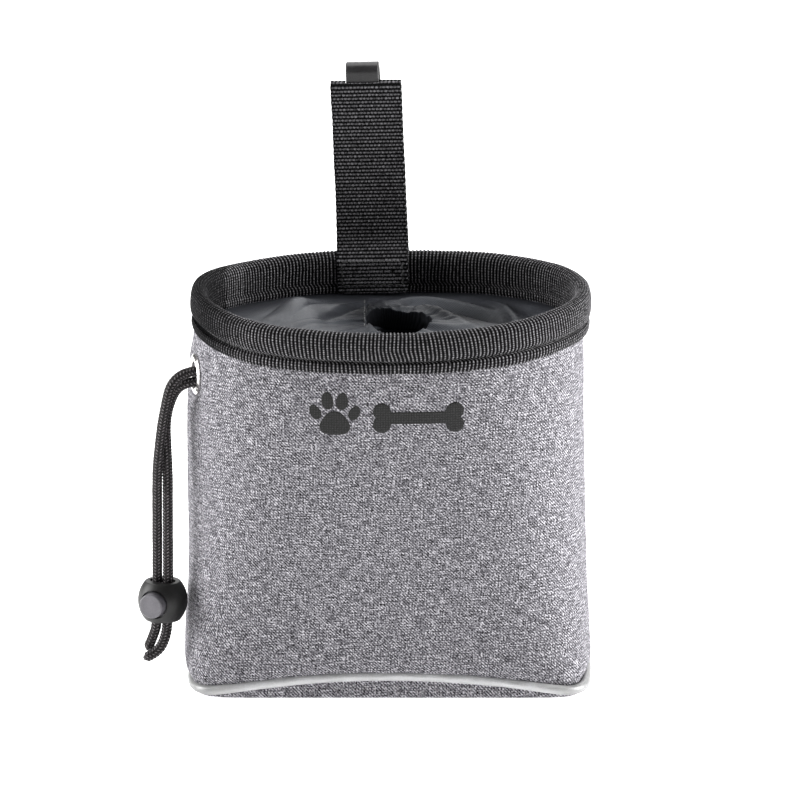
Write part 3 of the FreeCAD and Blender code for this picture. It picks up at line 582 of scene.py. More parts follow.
LEADS = {
    "drawcord_lead_a": [
        (-64.416, -10.020, 116.113),
        (-56.637, -7.553, 116.443),
        (-44, 4.6, 119.8),
        (-27, 5.2, 123.6),
        (-16.434, 4.367, 124.6),
    ],
    "drawcord_lead_b": [
        (-64.416, -10.020, 112.363),
        (-56.637, -8.753, 111.893),
        (-44, -3.2, 116.8),
        (-27, -3.6, 122.6),
        (-16.434, -2.367, 124.6),
    ],
}
EYELET = np.array([-68.5, -11.0, 114.8])
EYELET_OUT = unit(np.array([-0.9723, -0.2334, 0.0087]))
for name, points in TAILS.items():
    o, line = braided(name, points, melted=True)
for name, points in LEADS.items():
    o, line = braided(name, points)

HOLE = np.array([3.0, 1.0])
CHANNEL_RING, CHANNEL_Z = 14.5, 124.6
angle = np.radians(np.linspace(180 + 11, 540 - 11, 13))
loop_points = np.stack(
    [
        HOLE[0] + CHANNEL_RING * 1.02 * np.cos(angle),
        HOLE[1] + CHANNEL_RING * 1.02 * np.sin(angle),
        0 * angle + CHANNEL_Z,
    ],
    1,
)
loop, line = braided("drawcord_loop", loop_points)

# ---------------------------------------------------------------- the shell's shape

LEVELS = (0, 3.6, 17.6, 34, 51, 67, 84, 100, 117, 124, 131, 144)
HALF_WIDTH = (69.9, 71.0, 71.9, 70.8, 70.4, 70.4, 70.4, 70.2, 69.9, 69.4, 69.3, 69.3)
LEAN = (-0.2, -0.5, -0.8, -0.7, -0.7, -1.1, -1.3, -1.5, -1.1, -0.5, 0, 0)
WALL_Z = (0, 12, 32, 76, 108, 131)
HALF_DEPTH = (27.6, 30.4, 34.4, 43.4, 49.6, 53.6)
SQUARENESS = (14.0, 8.0, 5.2, 3.3, 2.7, 2.4)
FRONT_SQUARENESS = (3.6, 2.7, 2.1, 2.0, 2.0, 2.0)
TABLE_Z = np.arange(-2, 144.1, 1.0)


def outline(a, b, n, count, start, span, m=2.0):
    """Points evenly spaced along |x/a|^n + |y/b|^m = 1, anticlockwise from above."""
    t = np.linspace(start, start + span, 3001)
    c, s = np.cos(t), np.sin(t)
    p = np.stack([a * np.sign(c) * np.abs(c) ** (2 / n), b * np.sign(s) * np.abs(s) ** (2 / m)], 1)
    return resampled(p, count)


def smoothed(table, width=5.0):
    k = np.arange(-12, 13)
    weights = np.exp(-((k / width) ** 2))
    weights /= weights.sum()
    padded = np.concatenate([table[:1]] * 12 + [table] + [table[-1:]] * 12)
    return sum(w * padded[i : i + len(table)] for i, w in enumerate(weights))


def wall_table(count, start, span, inset=0.0):
    rows = []
    for z in TABLE_Z:
        a = np.interp(z, LEVELS, HALF_WIDTH) - inset
        b = np.interp(z, WALL_Z, HALF_DEPTH) - inset
        n, m = np.interp(z, WALL_Z, SQUARENESS), np.interp(z, WALL_Z, FRONT_SQUARENESS)
        p = outline(a, b, n, count, start, span, m)
        p[:, 0] += np.interp(z, LEVELS, LEAN)
        rows.append(p)
    return smoothed(np.array(rows))


def on_wall(table, z):
    """Points of the wall at heights z[row, column]."""
    grid = np.empty(z.shape + (3,))
    for k in range(z.shape[1]):
        grid[:, k, 0] = np.interp(z[:, k], TABLE_Z, table[:, k, 0])
        grid[:, k, 1] = np.interp(z[:, k], TABLE_Z, table[:, k, 1])
    grid[..., 2] = z
    return grid


SEAM_END, SEAM_LOW, SEAM_TOP = 64.0, 2.3, 8.4
SEAM_RADIUS = (SEAM_END**2 + (SEAM_TOP - SEAM_LOW) ** 2) / (2 * (SEAM_TOP - SEAM_LOW))


def seam_height(x):
    """Height of the base seam, an arch over the front and the back."""
    arch = SEAM_TOP - SEAM_RADIUS + np.sqrt(SEAM_RADIUS**2 - np.clip(x, -SEAM_END, SEAM_END) ** 2)
    return np.maximum(arch, SEAM_LOW)


def cleared_of_eyelet(grid):
    """Cloth pulled in flat under the eyelet's flange."""
    away = grid - EYELET
    out = away @ EYELET_OUT
    across = np.linalg.norm(away - out[..., None] * EYELET_OUT, axis=-1)
    near = (1 - step(across, 7.5, 17)) * (np.abs(out) < 25)
    move = np.where(out > -0.1, out + 0.1, 0) * near
    return grid - move[..., None] * EYELET_OUT


def panel(name, start, seed):
    columns, rows = 300, 210
    table = wall_table(columns, start, np.pi)
    foot = table[6, :, 0]
    low = seam_height(foot) + 1.5
    v = np.linspace(0, 1, rows)[:, None] ** 1.15
    z = low[None] + (130.9 - low[None]) * v
    grid = on_wall(table, z)
    width = arc_lengths(table[60])[-1]
    s = np.linspace(-width / 2, width / 2, columns)[None] + 0 * z
    above = z - low[None]
    swell = 0.55 * noise(s / 38 + 3, z / 46, seed) + 0.22 * noise(s / 15, z / 22, seed + 1)
    near_seams = 0.34 * np.exp(-above / 5.5) + 0.28 * np.exp(-(130 - z) / 6)
    pucker = noise(s / 4.2, z / 60 + 5, seed + 2) * near_seams
    roll = 0.55 * np.exp(-(((above - 5.5) / 5) ** 2)) - 0.75 * np.exp(-((above / 1.8) ** 2))
    tuck = -0.45 * step(z, 117, 127)
    edge = width / 2 - np.abs(s)
    seam = -0.75 * np.exp(-((edge / 1.2) ** 2)) + 0.25 * np.exp(-(((edge - 3) / 1.6) ** 2))
    height = swell * step(edge, 0, 18) + pucker + roll + tuck + seam
    grid = cleared_of_eyelet(grid + normals(grid) * height[..., None])
    o = cloth_piece(name + "_cloth", grid, SHELL, np.stack([s, z, 0 * s], -1), 1.3)
    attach(o, "bag")
    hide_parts(name)
    return grid


front_grid = panel("front_panel", np.pi, 11)
panel("back_panel", 0.0, 21)

# ---------------------------------------------------------------- base and piping


FOOT_RADIUS = 1.3


def base_panel():
    columns = 420
    ring = outline(70.0, 27.9, 14.0, columns + 1, np.pi / 2, 2 * np.pi, 4.0)[:-1]
    centre_rows = np.concatenate([[0.03], np.linspace(0.08, 0.93, 22)])
    rows = [np.column_stack([ring * k, 0 * ring[:, :1] + 0.02]) for k in centre_rows]
    out = unit(np.roll(ring, -1, 0) - np.roll(ring, 1, 0))
    out = np.stack([out[:, 1], -out[:, 0]], 1)
    for t in np.linspace(0, np.pi / 2, 9):  # rounded lower edge
        p = ring + out * (FOOT_RADIUS * (np.sin(t) - 1))
        rows.append(np.column_stack([p, 0 * p[:, :1] + FOOT_RADIUS * (1 - np.cos(t))]))
    top = np.maximum(seam_height(ring[:, 0]) - 0.3, 2.0)
    for t in np.linspace(0, 1, 10)[1:]:
        rows.append(np.column_stack([ring - out * 0.5 * t, FOOT_RADIUS + (top - FOOT_RADIUS) * t]))
    grid = np.array(rows)
    s = arc_lengths(np.vstack([ring, ring[:1]]))[:-1]
    z = grid[..., 2]
    crumple = 0.22 * noise(s[None] / 7 + 0 * z, z / 5, 31) * step(z, 0.4, 3)
    grid = grid + normals(grid, wrap=True) * crumple[..., None]
    flat = np.stack([grid[..., 0], grid[..., 1], 0 * z], -1)
    # z 0.05 is painted light, making the base's edge paler than the panels
    side = np.stack([s[None] + 0 * z, z, 0 * z + 0.05], -1)
    cloth = np.where((np.arange(len(rows)) < 24)[:, None, None], flat, side)
    o = cloth_piece("base_panel_cloth", grid, SHELL, cloth, 1.2, wrap=True, floor=True)
    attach(o, "bag")
    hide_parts("base_panel")


base_panel()

PIPING_PLAN = (70.0, 27.9, 14.0)
PIPING_RADIUS = 1.72


def piping():
    plan = outline(*PIPING_PLAN, 1101, np.pi / 2, 2 * np.pi, 3.8)[:-1]
    line = np.column_stack([plan, seam_height(plan[:, 0])])
    for _ in range(12):
        line[:, 2] = (np.roll(line[:, 2], 3) + line[:, 2] + np.roll(line[:, 2], -3)) / 3
    tangent = unit(np.roll(line, -1, 0) - np.roll(line, 1, 0))
    up = np.array([0, 0, 1.0]) - tangent[:, 2:] * tangent
    side = np.cross(tangent, unit(up))
    s = arc_lengths(np.vstack([line, line[:1]]))[:-1, None]
    turn = np.linspace(0, 1, 20, endpoint=False)[None]
    radius = (
        PIPING_RADIUS
        + 0.07 * noise(s / 9 + 0 * turn, turn * 3 + 0 * s, 41)
        + 0.05 * noise(s / 1.7 + 0 * turn, turn * 2 + 0 * s, 42)
    )
    rings = ringed(line, side, unit(up), radius, 20)
    # painted shade: the tape is painted darker towards the corners
    painted_corner_shade = 1 - 0.55 * step(np.abs(line[:, :1]), 50, 66)
    cloth = np.stack([s + 0 * turn, turn * 10.8 + 0 * s, painted_corner_shade + 0 * turn], -1)
    faces = grid_faces(len(line), 20, wrap_u=True, wrap_v=True).reshape(-1, 4).tolist()
    o = mesh_piece("piping_bead", rings, faces, SILVER, cloth, closed=True)
    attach(o, "bag")
    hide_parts("piping_sleeve")


piping()

# ---------------------------------------------------------------- rim tape

RIM_INNER, RIM_OUTER, RIM_REACH = (65.0, 49.1), (70.7, 55.9), 6.35
CREASE_Z = 130.75
RIM_PROFILE = (
    (4.7, 126.2),
    (5.5, 126.7),
    (5.85, 128.4),
    (5.6, 129.9),
    (4.5, 130.6),
    (4.3, 130.9),
    (5.9, 131.7),
    (6.35, 134.2),
    (6.35, 138.2),
    (5.7, 141.1),
    (3.3, 142.4),
    (0.8, 141.2),
    (0.0, 138.4),
    (-0.1, 132.2),
    (0.5, 130.0),
    (0.1, 129.0),
    (0.5, 127.6),
)


def rim_lift(x, y):
    """The rim is not flat: it stands a little higher at both sides and at the back."""
    side = np.where(x < 0, np.abs(x / 67) ** 4, np.abs(x / 67) ** 1.3)
    return 2.6 * side + 0.65 * step(y, 5, 35) * (1 - step(np.abs(x), 30, 60))


def rim_ring(reach, count):
    share = reach / RIM_REACH
    a = RIM_INNER[0] + (RIM_OUTER[0] - RIM_INNER[0]) * share
    b = RIM_INNER[1] + (RIM_OUTER[1] - RIM_INNER[1]) * share
    return outline(a, b, 2.4, count + 1, np.pi / 2, 2 * np.pi)[:-1]


def rim():
    ribs = 284
    columns = ribs * 6
    profile = resampled(rounded(RIM_PROFILE, 3), 92)
    rings = {}
    grid = np.empty((len(profile), columns, 3))
    for k, (reach, z) in enumerate(profile):
        grid[k, :, :2] = rim_ring(reach, columns)
        grid[k, :, 2] = z
    along = arc_lengths(profile)[:, None]
    column = np.arange(columns)[None] / 6
    crease_row = int(np.argmin(np.abs(profile[:24, 1] - CREASE_Z)))
    crease = along[crease_row]
    skew = (
        1.35 * step(along, crease - 1.3, crease + 1.0)
        + 0.5 * step(along, crease + 1, crease + 8)
        + 0.9 * step(along, 31, 33)
    )
    drift = 0.30 * noise(column / 9, along / 6, 51)
    phase = column + skew + drift
    wobble = 0.14 * noise(column / 5, along / 5, 52) + 0.18 * noise(column / 22, along / 9, 53)
    end = step(np.abs(grid[..., 0]), 48, 66)
    # a deeper crease at both ends; known fault: 1.3 mm on the left bares the hoop behind it
    notch = np.where(grid[..., 0] < 0, 1.3, 0.6) * end * np.exp(-(((along - crease) / 1.3) ** 2))
    lap = step(grid[..., 0], -59, -58) * (1 - step(grid[..., 0], -53, -52)) * step(grid[..., 1], 0, 4)
    lap = lap * step(along, 19, 21)
    height = 0.20 * np.cos(2 * np.pi * phase) + wobble - notch + 0.3 * lap
    grid = grid + normals(grid, wrap=True) * height[..., None]
    grid[..., 2] += 0.22 * noise(column / 17, 0 * along, 54)
    grid[..., 0] += 0.2 + 0.5 * step(grid[..., 0], 35, 66)
    upper = step(grid[..., 2], 131, 138)
    grid[..., 2] += upper * (0.012 * grid[..., 1] - 0.45) + rim_lift(grid[..., 0], grid[..., 1])
    # shade painted into the tape: darker at its ends, paler on the lap
    shade = 0.95 - 0.75 * step(-grid[..., 0], 48, 66) - 0.15 * step(grid[..., 0], 55, 66) + 0.45 * lap
    cloth = np.stack([phase, along + 0 * phase, shade], -1)
    o = cloth_piece("rim_ribbed_tape", grid, TAPE, cloth, 1.1, wrap=True)
    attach(o, "bag")
    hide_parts("rim_tape")
    # the seam stitches that lie in the crease
    line = np.roll(grid[crease_row], 3, 0)
    up = np.roll(normals(grid, wrap=True)[crease_row], 3, 0)
    sewn = joined("rim_stitching", stitches(line, up, 2.3, 0.6, 0.2, 0.22), THREAD)
    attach(sewn, "bag")


rim()


def hoop():
    """The flat spring strip inside the rim, which follows the rim's lift."""
    ring = outline(68.3, 52.6, 2.4, 361, np.pi / 2, 2 * np.pi)[:-1]
    rows = np.array([0.0, 0.25, 0.5, 7.9, 8.15, 8.4])
    bow = np.array([-0.25, -0.06, 0, 0, -0.06, -0.25])
    scale = 1 + bow[:, None, None] / 60
    grid = np.concatenate([ring[None] * scale, np.zeros((6, 360, 1))], -1)
    lift = rim_lift(grid[..., 0], grid[..., 1])
    grid[..., 2] = 131.6 + rows[:, None] + lift
    o = cloth_piece("hoop_strip", grid, STEEL, grid, 0.9, wrap=True, offset=0.0)
    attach(o, "bag")
    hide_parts("rim_hoop")


hoop()

# ---------------------------------------------------------------- lining


def lining():
    columns, rows = 260, 110
    table = wall_table(columns + 1, np.pi / 2, 2 * np.pi, inset=2.5)[:, :-1]
    z = np.linspace(5.4, 129.5, rows)[:, None] + np.zeros((1, columns))
    grid = on_wall(table, z)
    foot = 1 - 0.045 * (1 - step(z, 4, 18))
    grid[..., :2] *= foot[..., None]
    width = arc_lengths(table[60])[-1]
    s = np.arange(columns)[None] / columns * width + 0 * z
    slack = 0.35 + 0.35 * noise(s / 11, z / 60, 61) + 0.15 * noise(s / 5, z / 30, 62)
    grid = grid - normals(grid, wrap=True) * slack[..., None]
    floor = [
        np.concatenate([grid[0, :, :2] * k, 0 * grid[0, :, 2:] + 3.75 + 0.9 * k**6], 1)
        for k in np.linspace(0.04, 0.975, 18)
    ]
    grid = np.concatenate([np.array(floor), grid])
    z = grid[..., 2]
    across = np.vstack([np.array(floor)[..., 0], s])
    up = np.vstack([np.array(floor)[..., 1], z[18:]])
    cloth = np.stack([across, up, 0 * z], -1)
    o = cloth_piece("lining_cloth", grid, SHADED_LINING, cloth, 0.5, wrap=True, floor=True)
    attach(o, "bag")
    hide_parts("lining")


lining()

# ---------------------------------------------------------------- gathered collar

# folds of the gathered cloth: points along each fold in plan, height and half width
FOLDS = (
    (((-38, 24), (-27, 18)), 2.8, 15.0),
    (((25, 22), (45, 13)), -1.8, 13.0),
    (((-36, 37), (-31, 18), (-27, -4)), 1.9, 6.0),
    (((-22, 2), (-14, 16), (-6, 27)), -1.7, 2.4),
    (((-19, 16), (-10, 26), (-3, 37)), 1.0, 3.0),
    (((-6, 20), (2, 28), (9, 34), (22, 31), (39, 22)), 2.3, 3.6),
    (((8, 26), (20, 22), (43, 9)), -2.8, 3.8),
    (((-6, 10), (4, 14), (12, 16)), 1.6, 2.6),
    (((13, 17), (20, 8), (28, -4)), 1.7, 2.8),
    (((36, 34), (42, 25), (45, 8)), 2.0, 2.4),
    (((48, 28), (52, 12)), -1.3, 3.0),
    (((-52, 12), (-30, -12)), -0.8, 5.0),
    (((-40, -22), (-12, -10)), 1.3, 4.0),
    (((8, -40), (6, -14)), 1.4, 4.5),
    (((38, -28), (16, -9)), -1.4, 4.0),
    (((50, -12), (18, -3)), 1.2, 4.0),
    (((-16, -38), (-6, -12)), -1.2, 3.5),
)


# patches of painted shade, darker and less glossy: centre, half sizes and depth
PAINTED_SHADE_PATCHES = (
    ((27, 13), (19, 17), 0.95),
    ((-9, 10), (13, 17), 0.70),
)


def fold_height(x, y):
    total = 0 * x
    for points, height, width in FOLDS:
        line = resampled(rounded(points, 2), 40)
        gap = np.full(x.shape, 1e9)
        best = np.zeros(x.shape)
        for k, (px, py) in enumerate(line):
            d = (x - px) ** 2 + (y - py) ** 2
            nearer = d < gap
            gap = np.where(nearer, d, gap)
            best = np.where(nearer, k / 39, best)
        fade = 0.35 + 0.65 * np.sin(np.pi * np.clip(best, 0.02, 0.98)) ** 0.6
        total = total + height * fade * np.exp(-gap / width**2)
    return total


def collar():
    columns, rows = 420, 120
    outer = outline(65.6, 49.6, 2.4, columns + 1, np.pi / 2, 2 * np.pi)[:-1]
    turn = np.arctan2(outer[:, 1] - HOLE[1], outer[:, 0] - HOLE[0])
    mouth = 11.0 + 0.8 * np.cos(2 * turn + 0.3) + 0.5 * np.cos(3 * turn - 1)
    mouth = mouth + 1.0 * np.clip(-np.sin(turn), 0, 1)
    inner = HOLE + np.stack([np.cos(turn), np.sin(turn)], 1) * mouth[:, None]
    q = np.linspace(0, 1, rows)[:, None]
    plan = outer[None] * (1 - q[..., None]) + inner[None] * q[..., None]
    x, y = plan[..., 0], plan[..., 1]
    lip = 3.4 + 1.5 * np.sin(turn[None]) + 0.6 * np.cos(turn[None] * 2)
    z = 127.4 + lip * step(q, 0, 1) + rim_lift(outer[:, 0], outer[:, 1])[None] * (1 - step(q, 0, 0.5))
    free = step(q, 0.0, 0.16)
    turns = turn[None] + 0 * x
    gathers = 0.55 * noise(turns * 5.5, 0.8 * q + 0 * x, 71) + 0.3 * noise(turns * 12, q + 0 * x, 72)
    z = z + free * fold_height(x, y) + gathers * step(q, 0.45, 1) + 0.25 * free * noise(x / 7, y / 7, 73)
    ledge = 0.7 * step(x, -8.2, -7.2) * (1 - step(x, -7.2, 2)) * step(y, -14, -8) * (1 - step(y, 36, 44))
    z = z + ledge * free
    # the edge turns down to its channel
    hem_rows = []
    for t in np.linspace(0, 1, 12)[1:]:
        p = HOLE + (inner - HOLE) * (1 - 0.03 * np.sin(np.pi * t) + 0.09 * t)
        down = z[-1] - 0.25 * np.sin(np.pi * t / 2) - (z[-1] - 125.2) * t**1.4
        hem_rows.append(np.column_stack([p, down]))
    grid = np.concatenate([np.stack([x, y, z], -1), np.array(hem_rows)])
    gx, gy = grid[..., 0], grid[..., 1]
    painted_shade = 0.0
    for (cx, cy), (wide, deep), depth in PAINTED_SHADE_PATCHES:
        painted_shade = painted_shade + depth * np.exp(-(((gx - cx) / wide) ** 2) - ((gy - cy) / deep) ** 2)
    painted_shade = np.clip(painted_shade, 0, 0.9)
    cloth = np.stack([gx, gy, painted_shade], -1)
    o = cloth_piece("collar_cloth", grid, NYLON, cloth, 0.7, wrap=True)
    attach(o, "bag")
    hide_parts("closure_collar")
    # stitches of the seam that crosses the collar
    tree = BVHTree.FromPolygons(
        [Vector(p) for p in grid[:rows].reshape(-1, 3)],
        grid_faces(rows, columns, wrap_u=True).reshape(-1, 4).tolist(),
    )
    line, up = [], []
    for y0 in np.linspace(38, -7.5, 60):
        hit, n, _, _ = tree.ray_cast(Vector((-8.9, y0, 160)), Vector((0, 0, -1)))
        if hit is not None:
            line.append(list(hit))
            up.append(list(n if n.z > 0 else -n))
    sewn = joined("collar_stitching", stitches(np.array(line), np.array(up), 2.0, 0.5, 0.16, 0.14), THREAD)
    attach(sewn, "bag")


collar()


def collar_channel():
    rows, sides = 260, 28
    sweep = np.radians(np.linspace(180 + 9, 540 - 9, rows))
    out = np.stack([np.cos(sweep), np.sin(sweep), 0 * sweep], 1)
    line = np.array([HOLE[0], HOLE[1], CHANNEL_Z]) + out * CHANNEL_RING
    turn = np.linspace(0, 1, sides)[None]
    gather = 0.28 * noise(sweep[:, None] * 9 + 0 * turn, turn * 4 + 0 * sweep[:, None], 81)
    radius = (2.55 + gather * np.sin(np.pi * turn))[..., None]
    a = 2 * np.pi * turn[..., None]
    grid = line[:, None] - radius * np.cos(a) * out[:, None] + radius * np.sin(a) * np.array([0, 0, -1.0])
    along = sweep[:, None] * CHANNEL_RING + 0 * turn
    cloth = np.stack([along, turn * 16 + 0 * sweep[:, None], 0 * gather], -1)
    o = cloth_piece("channel_cloth", grid, NYLON, cloth, 0.45, offset=0.0)
    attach(o, "bag")
    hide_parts("collar_channel")


collar_channel()

# ---------------------------------------------------------------- strap

STRAP_AT = np.array([-6.0, 52.7, 145.4])
TURN_Z, TURN_Y = math.radians(-5.0), math.radians(-2.4)
_cz, _sz, _cy, _sy = math.cos(TURN_Z), math.sin(TURN_Z), math.cos(TURN_Y), math.sin(TURN_Y)
STRAP_TURN = np.array([[_cz, -_sz, 0], [_sz, _cz, 0], [0, 0, 1]]) @ np.array(
    [[_cy, 0, _sy], [0, 1, 0], [-_sy, 0, _cy]]
)


def strap_point(p):
    """From the strap's own axes to the shared frame."""
    return np.asarray(p, float) @ STRAP_TURN.T + STRAP_AT


STRAP_PATH = (
    (-5.7, -16.6),
    (-5.75, -8.0),
    (-5.6, -4.8),
    (-4.2, -2.2),
    (-2.4, 0.4),
    (-1.4, 5.0),
    (-1.4, 30.0),
    (-1.4, 56.0),
    (-1.35, 59.4),
    (1.35, 59.4),
    (1.4, 56.0),
    (1.4, 30.0),
    (1.4, 5.0),
    (2.2, 1.2),
    (3.9, -1.6),
    (4.3, -4.8),
    (4.25, -8.0),
    (4.2, -16.6),
)
WEAVE = 1.33
CLIP_X = -1.2


def strap():
    path = rounded(STRAP_PATH, 3)
    length = arc_lengths(path)[-1]
    rows_of_weave = round(length / WEAVE)
    rows, columns = rows_of_weave * 6 + 1, 19 * 6 + 1
    path = resampled(path, rows)
    x = np.linspace(-12.5, 12.5, columns)[None]
    v = np.linspace(0, rows_of_weave, rows)[:, None]
    grid = np.stack([x + 0 * v, path[:, :1] + 0 * x, path[:, 1:] + 0 * x], -1)
    row, column = v + 0 * x, (x + 12.5) / 25 * 19 + 0 * v
    half = 0.5 * np.floor(row + 0.5)
    dash = np.cos(2 * np.pi * (column + half))
    height = 0.14 * np.cos(2 * np.pi * row) + 0.09 * dash + 0.12 * noise(column / 5, row / 4, 91)
    selvage = step(np.abs(x) + 0 * v, 11.3, 12.3)
    height = height * (1 - 0.6 * selvage) + 0.12 * selvage
    grid = grid + normals(grid) * height[..., None]
    grid[..., 0] += 0.16 * noise(row / 6, 0 * column, 92) * np.sign(x) * step(np.abs(x), 9, 12.5)
    # the clip's bend comes out of a slot in the fold
    middle_x = (x[0, 1:] + x[0, :-1]) / 2
    middle = (path[1:] + path[:-1]) / 2
    open_row = (middle[:, 1] > 55.5) & (middle[:, 0] > -0.75)
    keep = ~(open_row[:, None] & (np.abs(middle_x - CLIP_X) < 6.25)[None])
    world = strap_point(grid)
    # cloth z scales the webbing's tone: 1.7 on both roots, 1 above them
    cloth = np.stack([column, row, 1 + 0.7 * (grid[..., 2] < -4)], -1)
    o = cloth_piece("strap_webbing", world, WEBBING, cloth, 1.25, keep=keep, offset=0.0)
    bpy.context.view_layer.objects.active = o
    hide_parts("strap_loop", "strap_root_inner", "strap_root_outer")
    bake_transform(o)
    # box stitching on both roots
    parts = []
    for side, y in ((-1, -6.5), (1, 5.0)):
        for z in (-13.6, -4.9):
            x0 = np.linspace(-11, 11, 40)
            line = strap_point(np.stack([x0, 0 * x0 + y, 0 * x0 + z], 1))
            up = np.tile(STRAP_TURN @ np.array([0, side, 0.0]), (40, 1))
            parts += stitches(line, up, 2.2, 0.45, 0.24, 0.2)
        for x1 in (-10.8, 10.8):
            z1 = np.linspace(-13.6, -4.9, 20)
            line = strap_point(np.stack([0 * z1 + x1, 0 * z1 + y, z1], 1))
            up = np.tile(STRAP_TURN @ np.array([0, side, 0.0]), (20, 1))
            parts += stitches(line, up, 2.2, 0.45, 0.24, 0.2)
    sewn = joined("strap_stitching", parts, THREAD)
    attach(sewn, "bag")


strap()

# ---------------------------------------------------------------- belt clip

CLIP_HALF, CLIP_THICK = 5.85, 1.2
BEND_Y, BEND_Z, BEND_R = 2.9, 62.8, 2.9


def clip():
    bend = [(BEND_Y - BEND_R * math.cos(t), BEND_Z + BEND_R * math.sin(t)) for t in np.linspace(0, math.pi, 19)]
    leg = rounded([bend[-1], (6.6, 58.0), (8.4, 48.2), (8.4, 34.2), (5.0, 20.2), (7.2, 13.2)], 4)
    path = np.vstack([[(0, 15.2), (0, 30), (0, 45), (0, 60)], bend, leg[1:]])
    rows = 420
    path = resampled(path, rows)
    tangent = unit(np.gradient(path, axis=0))
    across = np.stack([-tangent[:, 1], tangent[:, 0]], 1)  # away from the bend's centre on the legs
    # rounded rectangle section, wide in x
    r, w, h = 0.42, CLIP_HALF, CLIP_THICK / 2
    corner = np.linspace(0, np.pi / 2, 6)
    section = []
    for sx, sy, first in ((1, 1, 0), (-1, 1, 1), (-1, -1, 2), (1, -1, 3)):
        for t in corner + first * np.pi / 2:
            section.append((sx * (w - r) + r * math.cos(t), sy * (h - r) + r * math.sin(t)))
    section = np.array(section)
    s = arc_lengths(path)
    ends = np.minimum(s, s[-1] - s)
    radius = 2.2  # the plan corners of both tips are round
    inset = np.where(ends < radius, radius - np.sqrt(np.clip(radius**2 - (radius - ends) ** 2, 0, None)), 0)
    grid = np.empty((rows, len(section), 3))
    for k in range(rows):
        wide = section[:, 0] * (w - inset[k]) / w
        grid[k, :, 0] = CLIP_X + wide
        grid[k, :, 1] = path[k, 0] + across[k, 0] * section[:, 1]
        grid[k, :, 2] = path[k, 1] + across[k, 1] * section[:, 1]
    faces = grid_faces(rows, len(section), wrap_u=True).reshape(-1, 4).tolist()
    faces += [list(range(len(section)))[::-1], list(range((rows - 1) * len(section), rows * len(section)))]
    o = mesh_piece("belt_clip", strap_point(grid.reshape(-1, 3)), faces, CLIP_PAINT, closed=True)
    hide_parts("clip_spring", "clip_leg")
    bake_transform(o)


clip()

# ---------------------------------------------------------------- printed mark


def mark():
    """A generic paw print and a bone, printed on the front."""
    tree = BVHTree.FromPolygons(
        [Vector(p) for p in front_grid.reshape(-1, 3)], grid_faces(*front_grid.shape[:2]).reshape(-1, 4).tolist()
    )

    def laid(x, z):
        hit, n, _, _ = tree.ray_cast(Vector((x, -120, z)), Vector((0, 1, 0)))
        n = n if n.y < 0 else -n
        return hit + n * 0.07

    parts = []

    def disc(cx, cz, rx, rz, tilt=0.0, pinch=0.0, lobes=0.0):
        """A pad: an oval with a narrower top, or with three soft lobes below."""
        rings, sides = 9, 48
        t = np.linspace(0, 2 * np.pi, sides, endpoint=False)
        shape = 1 + lobes * np.cos(3 * t + np.pi / 2)
        px, pz = rx * shape * np.cos(t) * (1 - pinch * np.sin(t)), rz * shape * np.sin(t)
        c, s = math.cos(tilt), math.sin(tilt)
        px, pz = c * px - s * pz, s * px + c * pz
        points = [laid(cx, cz)]
        for k in range(1, rings + 1):
            points += [laid(cx + a * k / rings, cz + b * k / rings) for a, b in zip(px, pz)]
        faces = [(0, 1 + j, 1 + (j + 1) % sides) for j in range(sides)]
        for f in grid_faces(rings, sides, wrap_u=True, first=1).reshape(-1, 4):
            faces.append(tuple(f[::-1]))
        parts.append((points, faces))

    paw = (-19.3, 110.4)
    disc(paw[0], paw[1] - 3.4, 5.3, 4.5, lobes=0.10)
    disc(paw[0] - 6.9, paw[1] + 1.0, 1.9, 2.9, 0.45, 0.12)
    disc(paw[0] - 2.6, paw[1] + 5.4, 2.1, 3.3, 0.14, 0.12)
    disc(paw[0] + 2.6, paw[1] + 5.4, 2.1, 3.3, -0.14, 0.12)
    disc(paw[0] + 6.9, paw[1] + 1.0, 1.9, 2.9, -0.45, 0.12)
    # bone: an upper and a lower half, each from y(x)
    cx, cz, reach, lobe, half, off = 10.2, 109.4, 12.9, 3.2, 2.3, 2.5
    x = np.linspace(-reach - lobe, reach + lobe, 110)
    circle = np.sqrt(np.clip(lobe**2 - (np.abs(x) - reach) ** 2, 0, None))
    top = np.where(np.abs(x) < reach, np.maximum(half, off + circle), off + circle)
    top = np.where(circle > 0, top, half)
    bottom = np.where(np.abs(x) > reach, np.clip(off - circle, 0, None), 0)
    for sign in (1, -1):
        points, rows = [], 7
        for k in range(rows):
            points += [laid(cx + a, cz + sign * (b + (t - b) * k / (rows - 1))) for a, b, t in zip(x, bottom, top)]
        faces = [tuple(f) if sign > 0 else tuple(f[::-1]) for f in grid_faces(rows, len(x)).reshape(-1, 4)]
        parts.append((points, faces))
    o = joined("front_print", parts, INK, closed=False)
    welded = bmesh.new()
    welded.from_mesh(o.data)
    bmesh.ops.remove_doubles(welded, verts=welded.verts, dist=0.02 * MM)
    welded.to_mesh(o.data)
    welded.free()
    o.data.shade_smooth()
    thick = o.modifiers.new("thickness", "SOLIDIFY")
    thick.thickness, thick.offset = 0.08 * MM, 0.0
    points = np.array([v.co for v in o.data.vertices]) / MM
    store = o.data.attributes["cloth"]
    flat = np.stack([points[:, 0], points[:, 2], 0 * points[:, 0]], 1)
    store.data.foreach_set("vector", flat.astype(np.float32).ravel())
    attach(o, "bag")


mark()

# ---------------------------------------------------------------- CAD parts that stay

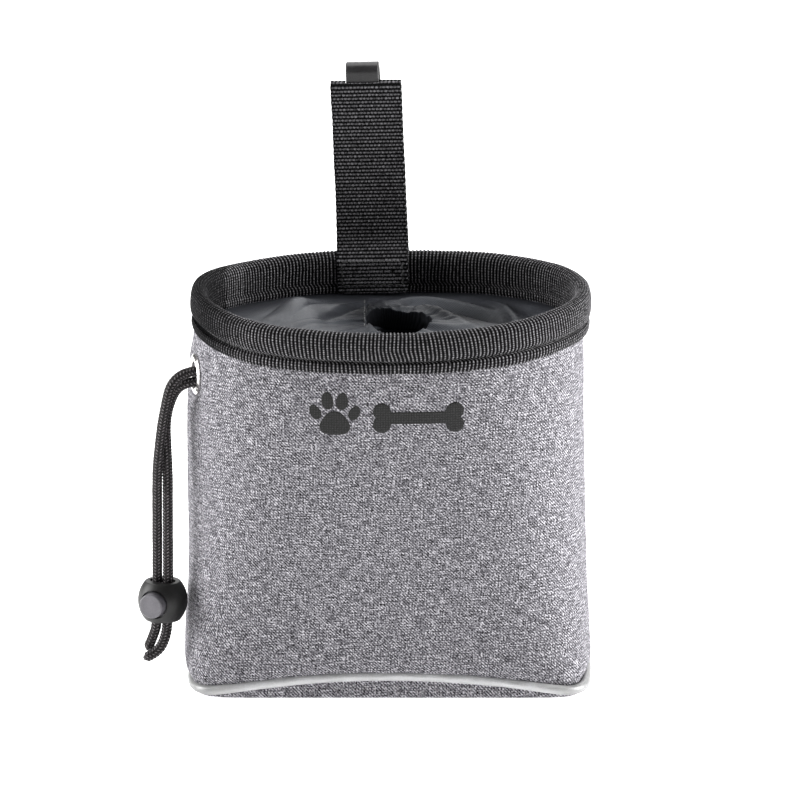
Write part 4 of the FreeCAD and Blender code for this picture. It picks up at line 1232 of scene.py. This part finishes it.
FINISHES = {
    "eyelet": NICKEL,
    "eyelet_washer": NICKEL,
    "lock_body": LOCK_PLASTIC,
    "lock_plunger": BUTTON_PLASTIC,
    "lock_spring": STEEL,
    "clip_rivets": CLIP_PAINT,
    "base_board": BOARD,
    "hoop_sleeve": STEEL,
    "piping_core": THREAD,
}
for name, material in FINISHES.items():
    node = nodes[name]
    node.data.materials.clear()
    node.data.materials.append(material)

# ---------------------------------------------------------------- floor, light

floor_mesh = bpy.data.meshes.new("floor")
floor_mesh.from_pydata([(-8, -8, 0), (8, -8, 0), (8, 8, 0), (-8, 8, 0)], [], [(0, 1, 2, 3)])
floor = bpy.data.objects.new("floor", floor_mesh)
SCENE.collection.objects.link(floor)
paper = Shader("floor_paper", Roughness=0.9, Specular_IOR_Level=0.1)
paper.bsdf.inputs["Emission Color"].default_value = (1.0, 1.0, 1.0, 1.0)
paper.bsdf.inputs["Emission Strength"].default_value = 0.82
floor_mesh.materials.append(
    paper.finish(paper.ramp(paper.noise(paper.place(), 0.002), (0.3, 0.88), (0.7, 0.9)))
)


def area_light(name, place, aim, size, power):
    data = bpy.data.lights.new(name, "AREA")
    data.shape, data.size, data.size_y, data.energy = "RECTANGLE", size[0], size[1], power
    light = bpy.data.objects.new(name, data)
    light.location = place
    light.rotation_mode = "QUATERNION"
    light.rotation_quaternion = (Vector(aim) - Vector(place)).to_track_quat("-Z", "Y")
    SCENE.collection.objects.link(light)


area_light("left_light", (-1.5, 0.15, 0.55), (0, 0, 0.08), (0.9, 1.1), 32.0)
area_light("right_light", (1.5, 0.10, 0.60), (0, 0, 0.08), (0.9, 1.1), 46.5)
area_light("top_light", (0.0, 0.45, 1.5), (0, 0, 0.1), (1.2, 1.0), 14.0)
area_light("back_light", (0.0, 1.7, 1.1), (0, 0, 0.1), (1.6, 0.8), 14.0)

world = bpy.data.worlds.new("studio")
world.use_nodes = True
world.node_tree.nodes["Background"].inputs["Color"].default_value = (1.0, 1.0, 1.0, 1.0)
world.node_tree.nodes["Background"].inputs["Strength"].default_value = 0.15
SCENE.world = world
SCENE.view_settings.view_transform = "Standard"

# ---------------------------------------------------------------- finish

bpy.context.view_layer.update()
